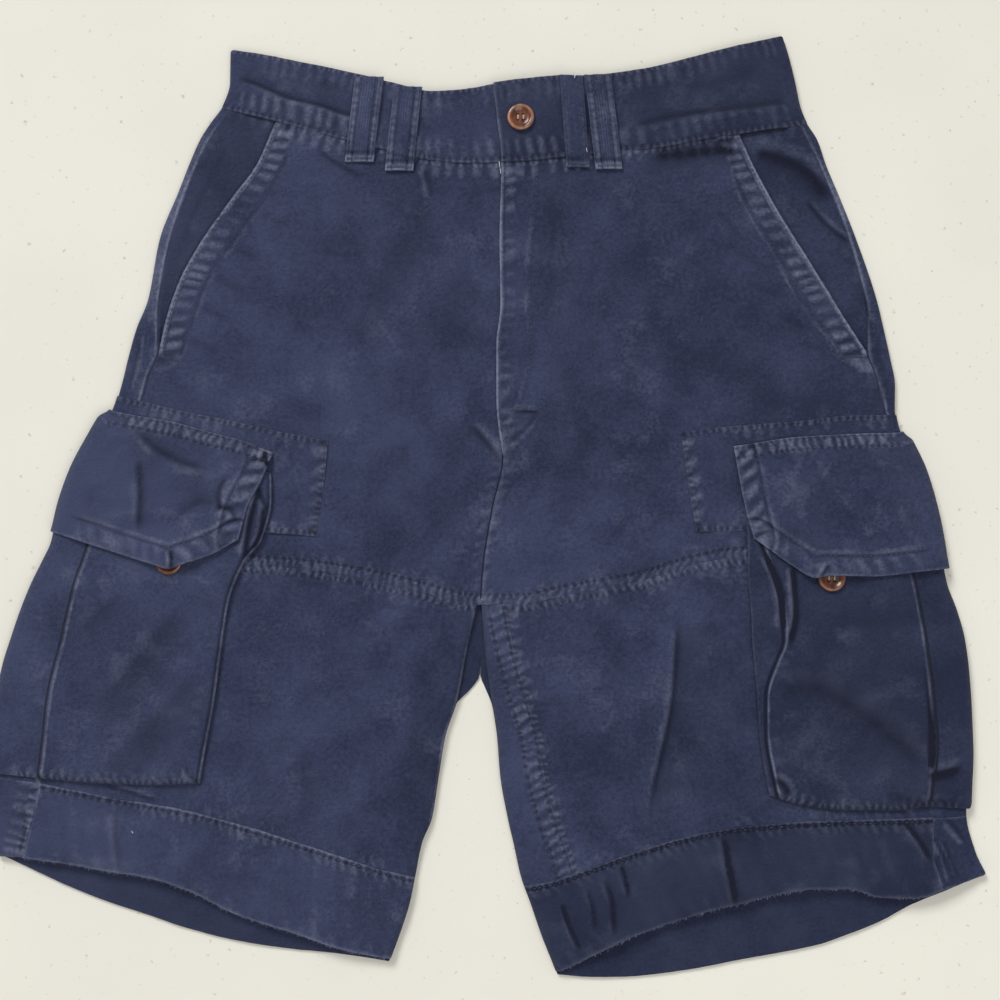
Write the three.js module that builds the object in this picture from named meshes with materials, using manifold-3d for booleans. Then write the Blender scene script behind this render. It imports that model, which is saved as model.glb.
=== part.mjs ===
// Cargo shorts laid flat, front side up. Millimetres, +X to the viewer's right, +Y to the waist, +Z up.
// Every cloth piece is a wall of even thickness, worked out from the tables of edges below.
import * as THREE from 'three';
import Module from 'manifold-3d';
import { mergeVertices } from 'three/addons/utils/BufferGeometryUtils.js';

const wasm = await Module();
wasm.setup();

// Driving dimensions
const twill = 1.2; // one layer of cloth in a leg panel
const doubledTwill = 2.0; // waistband and hems, turned in on themselves
const seamGap = 0.3; // between two pieces that are sewn edge to edge
const layerGap = 0.4; // between a piece and what it lies on
const sideFoldRadius = 2.6; // of a leg where its back turns up onto the front
const bandFoldRadius = 3.0; // of the waistband where it turns round the hip
const frontRise = 1.2; // height that the front gains between the side fold and the middle of a leg
const riseWidth = 24; // width over which it gains it
const bandRise = 1.2;
const hemLift = 2.6; // the leg openings gape by this at the front
const hemLiftLength = 46;
const hemLiftFromInseam = 4; // the lift starts this far from the inseam
const hemLiftAcross = 34; // and is whole after this width
const inseamFoldWidth = 5; // the front rounds down to the back over this width at the inseam
const crotchLevel = -66;
const crotchBlend = 26; // length below the crotch over which the inseam's rounding starts
const flyUnderlap = 25; // width of the left front that runs under the right one
const flyUnderlapEnd = { from: 75, to: 45 }; // levels between which the underlap runs out
const flyBottom = 21;
const flyLapFade = { front: [28, 50], band: [40, 62], length: 18 }; // the lap's height runs out over these
const facingTuck = 4; // width of the hip facing that runs under the slash edge
const patchTwill = 1.1;
const flapTwill = 1.3;
const pocketDepth = 4.8; // height of a cargo pocket's face above the leg
const underFlapMargin = 13; // the pocket's mouth lies this far below the flap's seam
const flapRiseLength = 8.5; // the flap climbs from its seam to above the pocket over this length
const loopTwill = 1.8;
const loopArch = 0.9;
const buttonDiameter = 17;
const buttonThickness = 2.6;
const clearOfTable = 0.12; // lower edge of the pockets, flaps and patches where they go round the side
const pocketLength = 205;
const pocketRoundWidth = 4.4; // a pocket's face comes down to its bottom edge over this
const stepUnderFlap = { level: -24, length: 14 }; // the bellows step starts below the flap
const pocketFoldFade = { level: -30, length: 20, fromPleat: 16 }; // where the pocket's soft folds start
const flapButtonRise = { around: 1, width: 18 }; // the flap rises over the button across this width
const flapFoldFade = { level: 6, length: 8 };
const loopDrop = { above: 5, length: 3 }; // a belt loop comes down off the band over this length

// Layers over a leg, as heights of their outer faces above the leg's own
const patchLayer = layerGap + patchTwill;
const pocketEdgeLayer = layerGap + twill;
const pocketOnPatchLayer = patchLayer + layerGap + twill;
const flapSeamLayer = patchLayer + layerGap + flapTwill;
const flapLayer = pocketDepth + layerGap + flapTwill;

// Waist: y of the band's upper edge and of its seam, a row for each x
const waistRows = [
  { x: -172, top: 285, seam: 246 },
  { x: -134, top: 278, seam: 236 },
  { x: -91, top: 269, seam: 224 },
  { x: -59, top: 261, seam: 216 },
  { x: -35, top: 255.5, seam: 210.5 },
  { x: -11, top: 257.5, seam: 209 },
  { x: 8, top: 261, seam: 209 },
  { x: 46, top: 265, seam: 212 },
  { x: 71, top: 266.5, seam: 215 },
  { x: 103, top: 271, seam: 218 },
  { x: 141, top: 281, seam: 225 },
  { x: 188, top: 292.5, seam: 232 },
  { x: 204, top: 296, seam: 234.5 },
];

// Side folds of the legs themselves, below the pockets: x of each outer edge, a row for each level
const outerRows = [
  { y: 292, left: -163, right: 188 },
  { y: 280, left: -163.5, right: 191.5 },
  { y: 262, left: -163.5, right: 195.5 },
  { y: 246, left: -168, right: 198.5 },
  { y: 234, left: -176, right: 203 },
  { y: 224, left: -182, right: 209 },
  { y: 208, left: -188.5, right: 214 },
  { y: 190, left: -195, right: 221 },
  { y: 160, left: -206, right: 232 },
  { y: 121, left: -212.5, right: 244 },
  { y: 102, left: -219.5, right: 248 },
  { y: 84, left: -224, right: 251.5 },
  { y: 68, left: -227.5, right: 254 },
  { y: 52, left: -232, right: 253.5 },
  { y: 35, left: -241, right: 256.5 },
  { y: 12, left: -252.5, right: 266 },
  { y: -8, left: -259, right: 271.5 },
  { y: -26, left: -263, right: 275 },
  { y: -44, left: -271, right: 277.5 },
  { y: -58, left: -277.5, right: 280 },
  { y: -74, left: -283.5, right: 285.5 },
  { y: -90, left: -288.5, right: 289.5 },
  { y: -108, left: -293.5, right: 291.5 },
  { y: -130, left: -297, right: 292.5 },
  { y: -157, left: -297.5, right: 292.8 },
  { y: -178, left: -298, right: 291.5 },
  { y: -196, left: -299, right: 290.5 },
  { y: -219, left: -296, right: 295.5 },
  { y: -232, left: -293, right: 301.5 },
];

// Seam between the back, which turns onto the front, and the hip facing or the front below it
const sideSeamRows = [
  { y: 246, left: -161, right: 191 },
  { y: 234, left: -169, right: 196.5 },
  { y: 208, left: -182.5, right: 208.5 },
  { y: 175, left: -194, right: 221.5 },
  { y: 140, left: -202, right: 231.5 },
  { y: 111, left: -205, right: 236.5 },
  { y: 88, left: -204, right: 236 },
  { y: 73, left: -210, right: 241 },
  { y: 58, left: -214, right: 244.5 },
  { y: 8, left: -233, right: 256 },
  { y: -34, left: -245, right: 261 },
  { y: -94, left: -259, right: 268 },
  { y: -136, left: -267, right: 272 },
  { y: -175, left: -270, right: 270 },
  { y: -221, left: -279, right: 269 },
  { y: -240, left: -282, right: 273 },
];

// Slanted hip pocket: x of the front's free edge, which ends on the side seam
const slashRows = [
  { y: 240, left: -131, right: 152.5 },
  { y: 229, left: -136, right: 158 },
  { y: 208, left: -145, right: 167 },
  { y: 184, left: -162, right: 179 },
  { y: 157, left: -180, right: 194.5 },
  { y: 131, left: -193, right: 210 },
  { y: 107, left: -200.5, right: 224 },
  { y: 88, left: -204, right: 236 },
];

// Middle of the front: the fly's free edge down to its foot, and the seat seam below it
const middleRows = [
  { y: 264, x: 3.5 },
  { y: 237, x: 6 },
  { y: 209, x: 9 },
  { y: 159, x: 8 },
  { y: 118, x: 8.5 },
  { y: 92, x: 6 },
  { y: 58, x: 6 },
  { y: 21, x: 9 },
  { y: -8, x: 3 },
  { y: -45, x: -3 },
  { y: -66, x: -4.5 },
];

// Inner edges of the legs, with the width of the right leg's turned inseam
const innerRows = [
  { y: -66, left: -5.2, right: -3.8, turn: 14 },
  { y: -97, left: -12, right: -1.5, turn: 18 },
  { y: -126, left: -17.5, right: 2.5, turn: 22 },
  { y: -149, left: -25, right: 6, turn: 25 },
  { y: -173, left: -29, right: 8, turn: 27 },
  { y: -198, left: -33, right: 12.5, turn: 29 },
  { y: -213, left: -39, right: 16, turn: 31 },
  { y: -233, left: -43, right: 20.5, turn: 33 },
  { y: -248, left: -46, right: 26, turn: 33 },
  { y: -268, left: -52.5, right: 33, turn: 33 },
  { y: -284, left: -58.5, right: 39.5, turn: 33 },
  { y: -296, left: -63, right: 44, turn: 33 },
];

// Inner edges of the back, which reaches lower between the legs than the front does
const backInnerRows = [
  { y: 250, left: -4.3, right: -3.9 },
  { y: -90, left: -4.3, right: -3.9 },
  { y: -112, left: -4.9, right: -3.5 },
  { y: -120, left: -10, right: -0.5 },
  { y: -130, left: -19.5, right: 3.5 },
  { y: -149, left: -26.2, right: 7.2 },
  { y: -173, left: -30.2, right: 9.2 },
  { y: -198, left: -34.2, right: 13.7 },
  { y: -213, left: -40.2, right: 17.2 },
  { y: -233, left: -44.2, right: 21.7 },
  { y: -248, left: -47.2, right: 27.2 },
  { y: -268, left: -53.7, right: 34.2 },
  { y: -284, left: -59.5, right: 40.5 },
  { y: -296, left: -64, right: 45 },
];

// Seam across each front above the knee: y for each x
const kneeRows = [
  { x: -290, y: -30 },
  { x: -253, y: -34 },
  { x: -207, y: -42 },
  { x: -145, y: -45 },
  { x: -100, y: -49 },
  { x: -53, y: -58 },
  { x: -4.5, y: -69 },
  { x: 20, y: -69 },
  { x: 45, y: -64 },
  { x: 94, y: -55 },
  { x: 131, y: -44 },
  { x: 158, y: -40 },
  { x: 210, y: -45 },
  { x: 290, y: -51 },
];

// Hems: y of the hem's seam and of the lower edges of front and back, a row for each x
const leftHemRows = [
  { x: -303, seam: -172.5, front: -217.5, back: -217.5 },
  { x: -292, seam: -174, front: -219.5, back: -221 },
  { x: -278, seam: -176, front: -221.5, back: -227 },
  { x: -255, seam: -180, front: -224.5, back: -237.5 },
  { x: -232, seam: -184.5, front: -228.5, back: -246.5 },
  { x: -203, seam: -189.5, front: -233, back: -256 },
  { x: -178, seam: -194, front: -241, back: -264 },
  { x: -151, seam: -201, front: -254, back: -270.5 },
  { x: -118, seam: -211, front: -264.5, back: -275.5 },
  { x: -88, seam: -220.5, front: -274.5, back: -278.5 },
  { x: -58, seam: -229.5, front: -281, back: -283 },
  { x: -40, seam: -234, front: -284, back: -286 },
];
const rightHemRows = [
  { x: 14, seam: -240, front: -297, back: -293 },
  { x: 40, seam: -235, front: -289.5, back: -290.5 },
  { x: 62, seam: -227.5, front: -279.5, back: -292 },
  { x: 80, seam: -221, front: -270.5, back: -292 },
  { x: 116, seam: -210, front: -257.5, back: -288.5 },
  { x: 152, seam: -203, front: -248, back: -282 },
  { x: 200, seam: -199.5, front: -239.5, back: -273 },
  { x: 216, seam: -199, front: -239.5, back: -267.5 },
  { x: 237, seam: -198.5, front: -244.5, back: -259.5 },
  { x: 256, seam: -198, front: -245, back: -249.5 },
  { x: 280, seam: -197, front: -238, back: -240 },
  { x: 303, seam: -196, front: -230.5, back: -230.5 },
];

// Patch behind each cargo pocket: upper and lower edge for each x, and its inner end
const patchEdges = {
  left: [
    { x: -240, top: 63, bottom: -20 },
    { x: -190, top: 51, bottom: -24 },
    { x: -153, top: 43.5, bottom: -24 },
    { x: -122, top: 36.5, bottom: -26 },
    { x: -98, top: 32, bottom: -28 },
  ],
  right: [
    { x: 120, top: 38, bottom: -25 },
    { x: 156, top: 41.5, bottom: -24 },
    { x: 194, top: 44.5, bottom: -24 },
    { x: 225, top: 48, bottom: -24 },
    { x: 262, top: 48.5, bottom: -24 },
  ],
};
const patchEndRows = [
  { y: 40, left: -97.5, right: 119.5 },
  { y: 8, left: -100, right: 123.5 },
  { y: -30, left: -106, right: 129.5 },
];

// Flap of each cargo pocket: seam and lower edge for each x, and its free inner end
const flapEdges = {
  left: [
    { x: -275, top: 61, bottom: -22 },
    { x: -252, top: 55, bottom: -29.5 },
    { x: -226, top: 49.5, bottom: -38 },
    { x: -202, top: 45, bottom: -45.5 },
    { x: -194, top: 43.5, bottom: -48 },
    { x: -186, top: 41.5, bottom: -45.5 },
    { x: -166, top: 36, bottom: -38 },
    { x: -151, top: 32, bottom: -29.5 },
    { x: -131, top: 24, bottom: -20 },
  ],
  right: [
    { x: 150, top: 28, bottom: -20 },
    { x: 163, top: 30, bottom: -29 },
    { x: 185, top: 33.5, bottom: -45 },
    { x: 200, top: 34.8, bottom: -53.5 },
    { x: 207, top: 35.2, bottom: -52 },
    { x: 234, top: 36.4, bottom: -52.3 },
    { x: 262, top: 37.5, bottom: -49.5 },
    { x: 286, top: 38.5, bottom: -47 },
  ],
};
const flapEndRows = [
  { y: 30, left: -129.5, right: 151.5 },
  { y: 7, left: -138, right: 155 },
  { y: -11, left: -147, right: 158.5 },
  { y: -32, left: -152, right: 163.5 },
];

// Cargo pockets: inner edge where the pocket is sewn to the leg and where its face begins, for each level
const pocketEdgeRows = {
  left: [
    { y: 24, seam: -133, face: -138.5 },
    { y: -5, seam: -132, face: -138 },
    { y: -30, seam: -138, face: -144.5 },
    { y: -43, seam: -148, face: -154 },
    { y: -66, seam: -157, face: -162.5 },
    { y: -97, seam: -161.5, face: -167 },
    { y: -127, seam: -165, face: -170.5 },
    { y: -163, seam: -171, face: -176 },
    { y: -180, seam: -173.5, face: -178.5 },
  ],
  right: [
    { y: 24, seam: 154.5, face: 160 },
    { y: -5, seam: 158, face: 163.5 },
    { y: -28, seam: 159.5, face: 168 },
    { y: -48, seam: 159.5, face: 175 },
    { y: -72, seam: 161, face: 181 },
    { y: -90, seam: 161.5, face: 182 },
    { y: -106, seam: 162.5, face: 176 },
    { y: -124, seam: 164, face: 170.5 },
    { y: -148, seam: 165, face: 170 },
    { y: -172, seam: 168, face: 173.5 },
    { y: -190, seam: 172, face: 177.5 },
  ],
};
const pocketBottomRows = {
  left: [
    { x: -300, y: -171 },
    { x: -270, y: -174 },
    { x: -235, y: -177 },
    { x: -203, y: -178 },
    { x: -173, y: -177 },
  ],
  right: [
    { x: 170, y: -184 },
    { x: 189, y: -190 },
    { x: 219, y: -193 },
    { x: 248, y: -193 },
    { x: 264, y: -191 },
    { x: 292, y: -192.5 },
  ],
};

// Bellows line down each cargo pocket: the face steps down to the folded side beyond it
const pleatRows = [
  { y: 50, left: -222, right: 243 },
  { y: -34, left: -244, right: 256 },
  { y: -60, left: -252, right: 262 },
  { y: -94, left: -259, right: 267 },
  { y: -121, left: -265, right: 270 },
  { y: -151, left: -268, right: 271.5 },
  { y: -180, left: -270.5, right: 268 },
];
const pleatStep = 1.7;
const pleatWidth = 3;

// Largest folds of the front: both ends, half width and height, a hollow where the height is below 0
const foldRows = [
  { x0: 116, y0: -80, x1: 98, y1: -205, halfWidth: 13, height: 3.2 },
  { x0: 143, y0: -196, x1: 153, y1: -262, halfWidth: 9, height: 2.2 },
  { x0: 66, y0: -225, x1: 78, y1: -286, halfWidth: 9, height: 1.6 },
  { x0: -112, y0: -140, x1: -122, y1: -262, halfWidth: 13, height: 1.8 },
  { x0: -60, y0: -150, x1: -92, y1: -240, halfWidth: 14, height: 1.4 },
  { x0: -12, y0: 45, x1: -70, y1: -40, halfWidth: 13, height: 1.6 },
  { x0: 22, y0: 30, x1: 78, y1: -30, halfWidth: 13, height: 1.6 },
  { x0: -52, y0: 190, x1: -86, y1: 70, halfWidth: 18, height: 1.5 },
  { x0: 84, y0: 196, x1: 128, y1: 90, halfWidth: 18, height: 1.5 },
  { x0: 112, y0: 208, x1: 160, y1: 214, halfWidth: 9, height: -1.4 },
];
const pocketFoldRows = [
  { x0: -182, y0: -60, x1: -236, y1: -140, halfWidth: 12, height: 1.5 },
  { x0: 188, y0: -118, x1: 262, y1: -150, halfWidth: 13, height: 1.6 },
  { x0: -214, y0: 34, x1: -168, y1: 14, halfWidth: 9, height: 1.3 },
];

// Belt loops: x of the upper and lower end, and the distance from the band's seam to the lower end
const beltLoops = [
  { name: 'belt_loop_left_outer', top: -74.5, bottom: -80.5, width: 18.5, belowSeam: 12.5 },
  { name: 'belt_loop_left_inner', top: -50, bottom: -55.5, width: 18, belowSeam: 12 },
  { name: 'belt_loop_right_inner', top: 53, bottom: 57, width: 15, belowSeam: 8 },
  { name: 'belt_loop_right_outer', top: 69.8, bottom: 76.5, width: 17, belowSeam: 11.5 },
];
const loopBelowTop = 0.8; // distance from the band's upper edge to the loop's upper end

const buttonPlaces = [
  { name: 'button_waist', x: 21, y: 237 },
  { name: 'button_cargo_left', x: -194, y: -43.5 },
  { name: 'button_cargo_right', x: 210, y: -53 },
];

// Levels at which pieces that meet at a side seam all have a row
const sharedLevels = [236, 222, 208, 193, 178, 163, 148, 134, 121, 110, 101, 93, 84, 75, 66, 57, 48, 38, 25, 9, -7, -22,
  -34.3, -52, -70, -90, -110, -132, -154];
const facingEnd = 93;
const slashEnd = 88;

const mix = (a, b, t) => a + (b - a) * t;
const clamp = (t) => Math.min(1, Math.max(0, t));
const ease = (t) => clamp(t) ** 2 * (3 - 2 * clamp(t));
const quarterRound = (t) => Math.sqrt(1 - (1 - clamp(t)) ** 2);
const softRound = (t) => Math.sin((clamp(t) * Math.PI) / 2);

// Smooth curve through a table's rows that never swings past them, straight beyond its ends
function curveThrough(rows, key, column) {
  const points = rows.map((row) => [row[key], row[column]]).sort((a, b) => a[0] - b[0]);
  const rise = (i) => (points[i + 1][1] - points[i][1]) / (points[i + 1][0] - points[i][0]);
  const slopes = points.map((point, i) => {
    if (i === 0) return rise(0);
    if (i === points.length - 1) return rise(i - 1);
    const before = rise(i - 1);
    const after = rise(i);
    return before * after <= 0 ? 0 : (2 * before * after) / (before + after);
  });
  const last = points.length - 1;
  return (at) => {
    if (at <= points[0][0]) return points[0][1] + slopes[0] * (at - points[0][0]);
    if (at >= points[last][0]) return points[last][1] + slopes[last] * (at - points[last][0]);
    let i = 0;
    while (points[i + 1][0] < at) i += 1;
    const span = points[i + 1][0] - points[i][0];
    const t = (at - points[i][0]) / span;
    const blend = t * t * (3 - 2 * t);
    const curl = slopes[i] * t * (1 - t) ** 2 - slopes[i + 1] * t * t * (1 - t);
    return mix(points[i][1], points[i + 1][1], blend) + curl * span;
  };
}

const sides = ['left', 'right'];
const outward = { left: -1, right: 1 };
const bySide = (rows, key) => ({
  left: curveThrough(rows, key, 'left'),
  right: curveThrough(rows, key, 'right'),
});
const waistTop = curveThrough(waistRows, 'x', 'top');
const waistSeam = curveThrough(waistRows, 'x', 'seam');
const legOuter = bySide(outerRows, 'y');
const sideSeam = bySide(sideSeamRows, 'y');
const slash = bySide(slashRows, 'y');
const legInner = bySide(innerRows, 'y');
const backInner = bySide(backInnerRows, 'y');
const turnWidth = curveThrough(innerRows, 'y', 'turn');
const middle = curveThrough(middleRows, 'y', 'x');
const knee = curveThrough(kneeRows, 'x', 'y');
const hemRows = { left: leftHemRows, right: rightHemRows };
const patchEnd = bySide(patchEndRows, 'y');
const flapEnd = bySide(flapEndRows, 'y');
const pleat = bySide(pleatRows, 'y');
const edgesOf = (tables, column) => ({
  left: curveThrough(tables.left, 'x', column),
  right: curveThrough(tables.right, 'x', column),
});
const hemSeam = edgesOf(hemRows, 'seam');
const hemFront = edgesOf(hemRows, 'front');
const hemBack = edgesOf(hemRows, 'back');
const patchTop = edgesOf(patchEdges, 'top');
const patchBottom = edgesOf(patchEdges, 'bottom');
const flapTop = edgesOf(flapEdges, 'top');
const flapBottom = edgesOf(flapEdges, 'bottom');
const pocketBottom = edgesOf(pocketBottomRows, 'y');
const pocketSeam = {
  left: curveThrough(pocketEdgeRows.left, 'y', 'seam'),
  right: curveThrough(pocketEdgeRows.right, 'y', 'seam'),
};
const pocketFace = {
  left: curveThrough(pocketEdgeRows.left, 'y', 'face'),
  right: curveThrough(pocketEdgeRows.right, 'y', 'face'),
};

// Height of one table of folds at a point: each fold is a soft ridge that fades towards its ends
function foldHeight(rows, x, y) {
  let sum = 0;
  for (const fold of rows) {
    const along = new THREE.Vector2(fold.x1 - fold.x0, fold.y1 - fold.y0);
    const length = along.length();
    along.normalize();
    const dx = x - fold.x0;
    const dy = y - fold.y0;
    const t = (dx * along.x + dy * along.y) / length;
    const off = (dx * along.y - dy * along.x) / fold.halfWidth;
    const ends = ease((t + 0.15) / 0.35) * ease((1.15 - t) / 0.35);
    sum += fold.height * ends * Math.exp(-off * off * 2);
  }
  return sum;
}

// Distance from a point in to the side fold, square to the fold
function insideOf(side, x, y) {
  const step = 4;
  const slope = (legOuter[side](y + step) - legOuter[side](y - step)) / (2 * step);
  return (outward[side] * (legOuter[side](y) - x)) / Math.hypot(1, slope);
}

// Height of a leg's upper outer face: flat near the side fold, higher in the middle, gaping at the hem
function legTop(side, x, y, lowEdge = twill + layerGap) {
  const inside = insideOf(side, x, y) - sideFoldRadius;
  const settled = ease(inside / riseWidth);
  const toHem = y - hemFront[side](x);
  const toInseam = outward[side] * (x - legInner[side](y));
  const nearInseam = ease((toInseam - hemLiftFromInseam) / hemLiftAcross);
  const gape = hemLift * ease(1 - toHem / hemLiftLength) * settled * nearInseam;
  const full = 2 * sideFoldRadius + (frontRise + foldHeight(foldRows, x, y)) * settled + gape;
  const belowCrotch = ease((crotchLevel + 6 - y) / crotchBlend);
  const rounded = lowEdge + (full - lowEdge) * quarterRound(toInseam / inseamFoldWidth);
  return mix(full, rounded, belowCrotch);
}

// Extra height of the right front where it lies over the left one at the fly
function flyOverlap(x, y, thickness, [whole, none]) {
  const across = ease((none - (x - middle(y))) / (none - whole));
  return (thickness + layerGap) * across * ease((y - flyBottom - 4) / flyLapFade.length);
}

const bandTop = (side, x, y) => {
  const inside = outward[side] * (legOuter[side](y) - x) - bandFoldRadius;
  const lap = side === 'right' ? flyOverlap(x, y, doubledTwill, flyLapFade.band) : 0;
  return 2 * bandFoldRadius + bandRise * ease(inside / riseWidth) + lap;
};
const frontTop = (side, x, y) => {
  const lap = side === 'right' ? flyOverlap(x, y, twill, flyLapFade.front) : 0;
  return legTop(side, x, y) + lap;
};

// Where a curve x(y) meets a curve y(x)
function corner(rail, edge) {
  let y = edge(rail(0));
  for (let i = 0; i < 60; i += 1) y = mix(y, edge(rail(y)), 0.6);
  return [rail(y), y];
}

// Rows of plan points between two rails x(y) and two edges y(x): both edges and both rails are followed
function span(rails, edges, columns, rows) {
  const [start, end] = rails;
  const [top, bottom] = edges;
  const startTop = corner(start, top);
  const startBottom = corner(start, bottom);
  const endTop = corner(end, top);
  const endBottom = corner(end, bottom);
  return rows.map((v) => {
    const startY = mix(startTop[1], startBottom[1], v);
    const endY = mix(endTop[1], endBottom[1], v);
    return columns.map((u) => {
      const topX = mix(startTop[0], endTop[0], u);
      const bottomX = mix(startBottom[0], endBottom[0], u);
      const cornersX = mix(mix(startTop[0], endTop[0], u), mix(startBottom[0], endBottom[0], u), v);
      const cornersY = mix(mix(startTop[1], endTop[1], u), mix(startBottom[1], endBottom[1], u), v);
      const x = mix(topX, bottomX, v) + mix(start(startY), end(endY), u) - cornersX;
      const y = mix(top(topX), bottom(bottomX), v) + mix(startY, endY, u) - cornersY;
      return [x, y];
    });
  });
}

const even = (count) => Array.from({ length: count + 1 }, (unused, i) => i / count);

// Rows bunched towards the lower edge, where a piece rounds down
const evenThenRound = (count, length, steps) => {
  const first = 1 - steps[0] / length;
  return [...even(count).map((t) => t * first), ...steps.slice(1).map((step) => 1 - step / length)];
};

// Plan points across several rails in turn, with each shared rail taken once
function spanAll(rails, edges, counts, rows) {
  const grids = counts.map((count, i) => {
    const columns = even(count).slice(i === 0 ? 0 : 1);
    return span([rails[i], rails[i + 1]], edges, columns, rows);
  });
  return rows.map((v, row) => grids.flatMap((grid) => grid[row]));
}

const raise = (plan, height) => plan.map((row) => row.map(([x, y]) => [x, y, height(x, y)]));

// Points that carry a layer down round the side fold, from above its middle as far as it may go
function roundSide(side, plan, radius, layer, lowest, steps) {
  const step = 4;
  return plan.map((row) => {
    const [x, y] = row[0];
    const slope = (legOuter[side](y + step) - legOuter[side](y - step)) / (2 * step);
    const size = Math.hypot(1, slope);
    const reach = radius + layer(x, y);
    return steps.map((t) => {
      const angle = mix(Math.PI / 2, lowest(reach), t);
      const out = outward[side] * reach * Math.cos(angle);
      return [x + out / size, y - (out * slope) / size, radius + reach * Math.sin(angle)];
    });
  });
}

// Closed wall: outer points as given, inner points one thickness behind them. They lie straight below
// where the cloth is nearly level, and along its normal where it turns down, so that seams keep their gap
function wall(name, grid, thickness, finish) {
  const rows = grid.length;
  const columns = grid[0].length;
  const at = (r, c) => new THREE.Vector3(...grid[r][c]);
  const normals = [];
  for (let r = 0; r < rows; r += 1) {
    for (let c = 0; c < columns; c += 1) {
      const across = at(r, Math.min(c + 1, columns - 1)).sub(at(r, Math.max(c - 1, 0)));
      const down = at(Math.min(r + 1, rows - 1), c).sub(at(Math.max(r - 1, 0), c));
      normals.push(across.cross(down).normalize());
    }
  }
  const middleNormal = normals[Math.floor(rows / 2) * columns + Math.floor(columns * finish.faceAt)];
  const facing = Math.sign(middleNormal.z) * finish.faceUp;
  const positions = [];
  grid.flat().forEach((point) => positions.push(...point));
  grid.flat().forEach((point, i) => {
    const level = Math.abs(normals[i].z);
    const plumb = new THREE.Vector3(0, 0, Math.sign(normals[i].z));
    const upright = finish.plumb ? 1 : ease((level - 0.78) / 0.12);
    const behind = normals[i].clone().lerp(plumb, upright).normalize();
    const inner = new THREE.Vector3(...point).addScaledVector(behind, -facing * thickness);
    positions.push(inner.x, inner.y, inner.z);
  });
  const faces = [];
  const quad = (a, b, c, d) => faces.push(a, b, c, a, c, d);
  const inner = rows * columns;
  for (let r = 0; r < rows - 1; r += 1) {
    for (let c = 0; c < columns - 1; c += 1) {
      const a = r * columns + c;
      quad(a, a + 1, a + 1 + columns, a + columns);
      quad(inner + a, inner + a + columns, inner + a + 1 + columns, inner + a + 1);
    }
  }
  for (let c = 0; c < columns - 1; c += 1) {
    const last = (rows - 1) * columns + c;
    quad(c + 1, c, inner + c, inner + c + 1);
    quad(last, last + 1, inner + last + 1, inner + last);
  }
  for (let r = 0; r < rows - 1; r += 1) {
    const first = r * columns;
    const last = first + columns - 1;
    quad(first, first + columns, inner + first + columns, inner + first);
    quad(last + columns, last, inner + last, inner + last + columns);
  }
  if (facing < 0) {
    for (let i = 0; i < faces.length; i += 3) [faces[i + 1], faces[i + 2]] = [faces[i + 2], faces[i + 1]];
  }
  const geometry = new THREE.BufferGeometry();
  geometry.setAttribute('position', new THREE.Float32BufferAttribute(positions, 3));
  geometry.setIndex(faces);
  return solid(name, geometry, finish);
}

// Colours and finishes
const twillFinish = { color: 0x3a3f5e, roughness: 0.92, metalness: 0, faceUp: 1, faceAt: 0.5 };
const wrapFinish = { ...twillFinish, color: 0x343956, faceUp: -1, faceAt: 0.8 };
const trimFinish = { ...twillFinish, color: 0x444a6a };
const hornFinish = { color: 0x4a2b1e, roughness: 0.32, metalness: 0, faceUp: 1, faceAt: 0.5 };

const shorts = new THREE.Group();
shorts.name = 'cargo_shorts';

function solid(name, geometry, finish) {
  geometry.computeVertexNormals();
  const { color, roughness, metalness } = finish;
  const mesh = new THREE.Mesh(geometry, new THREE.MeshStandardMaterial({ color, roughness, metalness }));
  mesh.name = name;
  shorts.add(mesh);
  return mesh;
}

const shift = (curve, by) => (at) => curve(at) + by;
const halfGap = seamGap / 2;
const bentSeamSlack = 0.15; // more room where the two sides of a bent seam have their own columns
const foldSteps = 6;
const layerSteps = 4;
const wholeTurn = () => -Math.PI / 2;
const downToTable = (reach) => -Math.asin((sideFoldRadius - clearOfTable) / reach);
const railOf = (side, radius) => shift(legOuter[side], -outward[side] * radius);

// Straight edge under the leg between the ends that a curved one has on two rails
function straightUnder(rail, innerRail, edge, by) {
  const start = corner(rail, edge);
  const end = corner(innerRail, edge);
  return (x) => mix(start[1], end[1], (x - start[0]) / (end[0] - start[0])) + by;
}

// Rows of a piece as shares of its way down a rail, at levels that neighbours along that rail also have
function sharedRows(rail, topEdge, bottomEdge) {
  const top = corner(rail, topEdge)[1];
  const bottom = corner(rail, bottomEdge)[1];
  const between = sharedLevels.filter((y) => y < top - 4 && y > bottom + 4);
  return [0, ...between.map((y) => (top - y) / (top - bottom)), 1];
}

// A piece that starts on the front at its seam, goes round the side fold and lies flat under the leg
function wrapped(side, name, seamRail, innerRail, topEdges, underEdges, shape) {
  const rail = railOf(side, shape.radius);
  const { rows } = shape;
  const upper = span([seamRail, rail], topEdges, even(shape.topColumns), rows);
  const under = span([rail, innerRail], underEdges, even(shape.underColumns), rows);
  const turn = roundSide(side, under, shape.radius, () => 0, wholeTurn, even(foldSteps));
  const top = raise(upper, shape.height);
  const flat = raise(under, () => 0);
  const grid = rows.map((v, r) => [...top[r].slice(0, -1), ...turn[r], ...flat[r].slice(1)]);
  wall(name, grid, shape.thickness, wrapFinish);
}

// A piece that lies over the leg and goes down round its side fold to the table
function overSide(side, name, rails, counts, edges, rows, layer, thickness, finish) {
  const plan = spanAll([railOf(side, sideFoldRadius), ...rails], edges, counts, rows);
  const top = raise(plan, (x, y) => legTop(side, x, y) + layer(x, y));
  const steps = even(layerSteps).slice(1).reverse();
  const turn = roundSide(side, plan, sideFoldRadius, layer, downToTable, steps);
  const grid = rows.map((v, r) => [...turn[r], ...top[r]]);
  wall(name, grid, thickness, finish);
}

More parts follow.
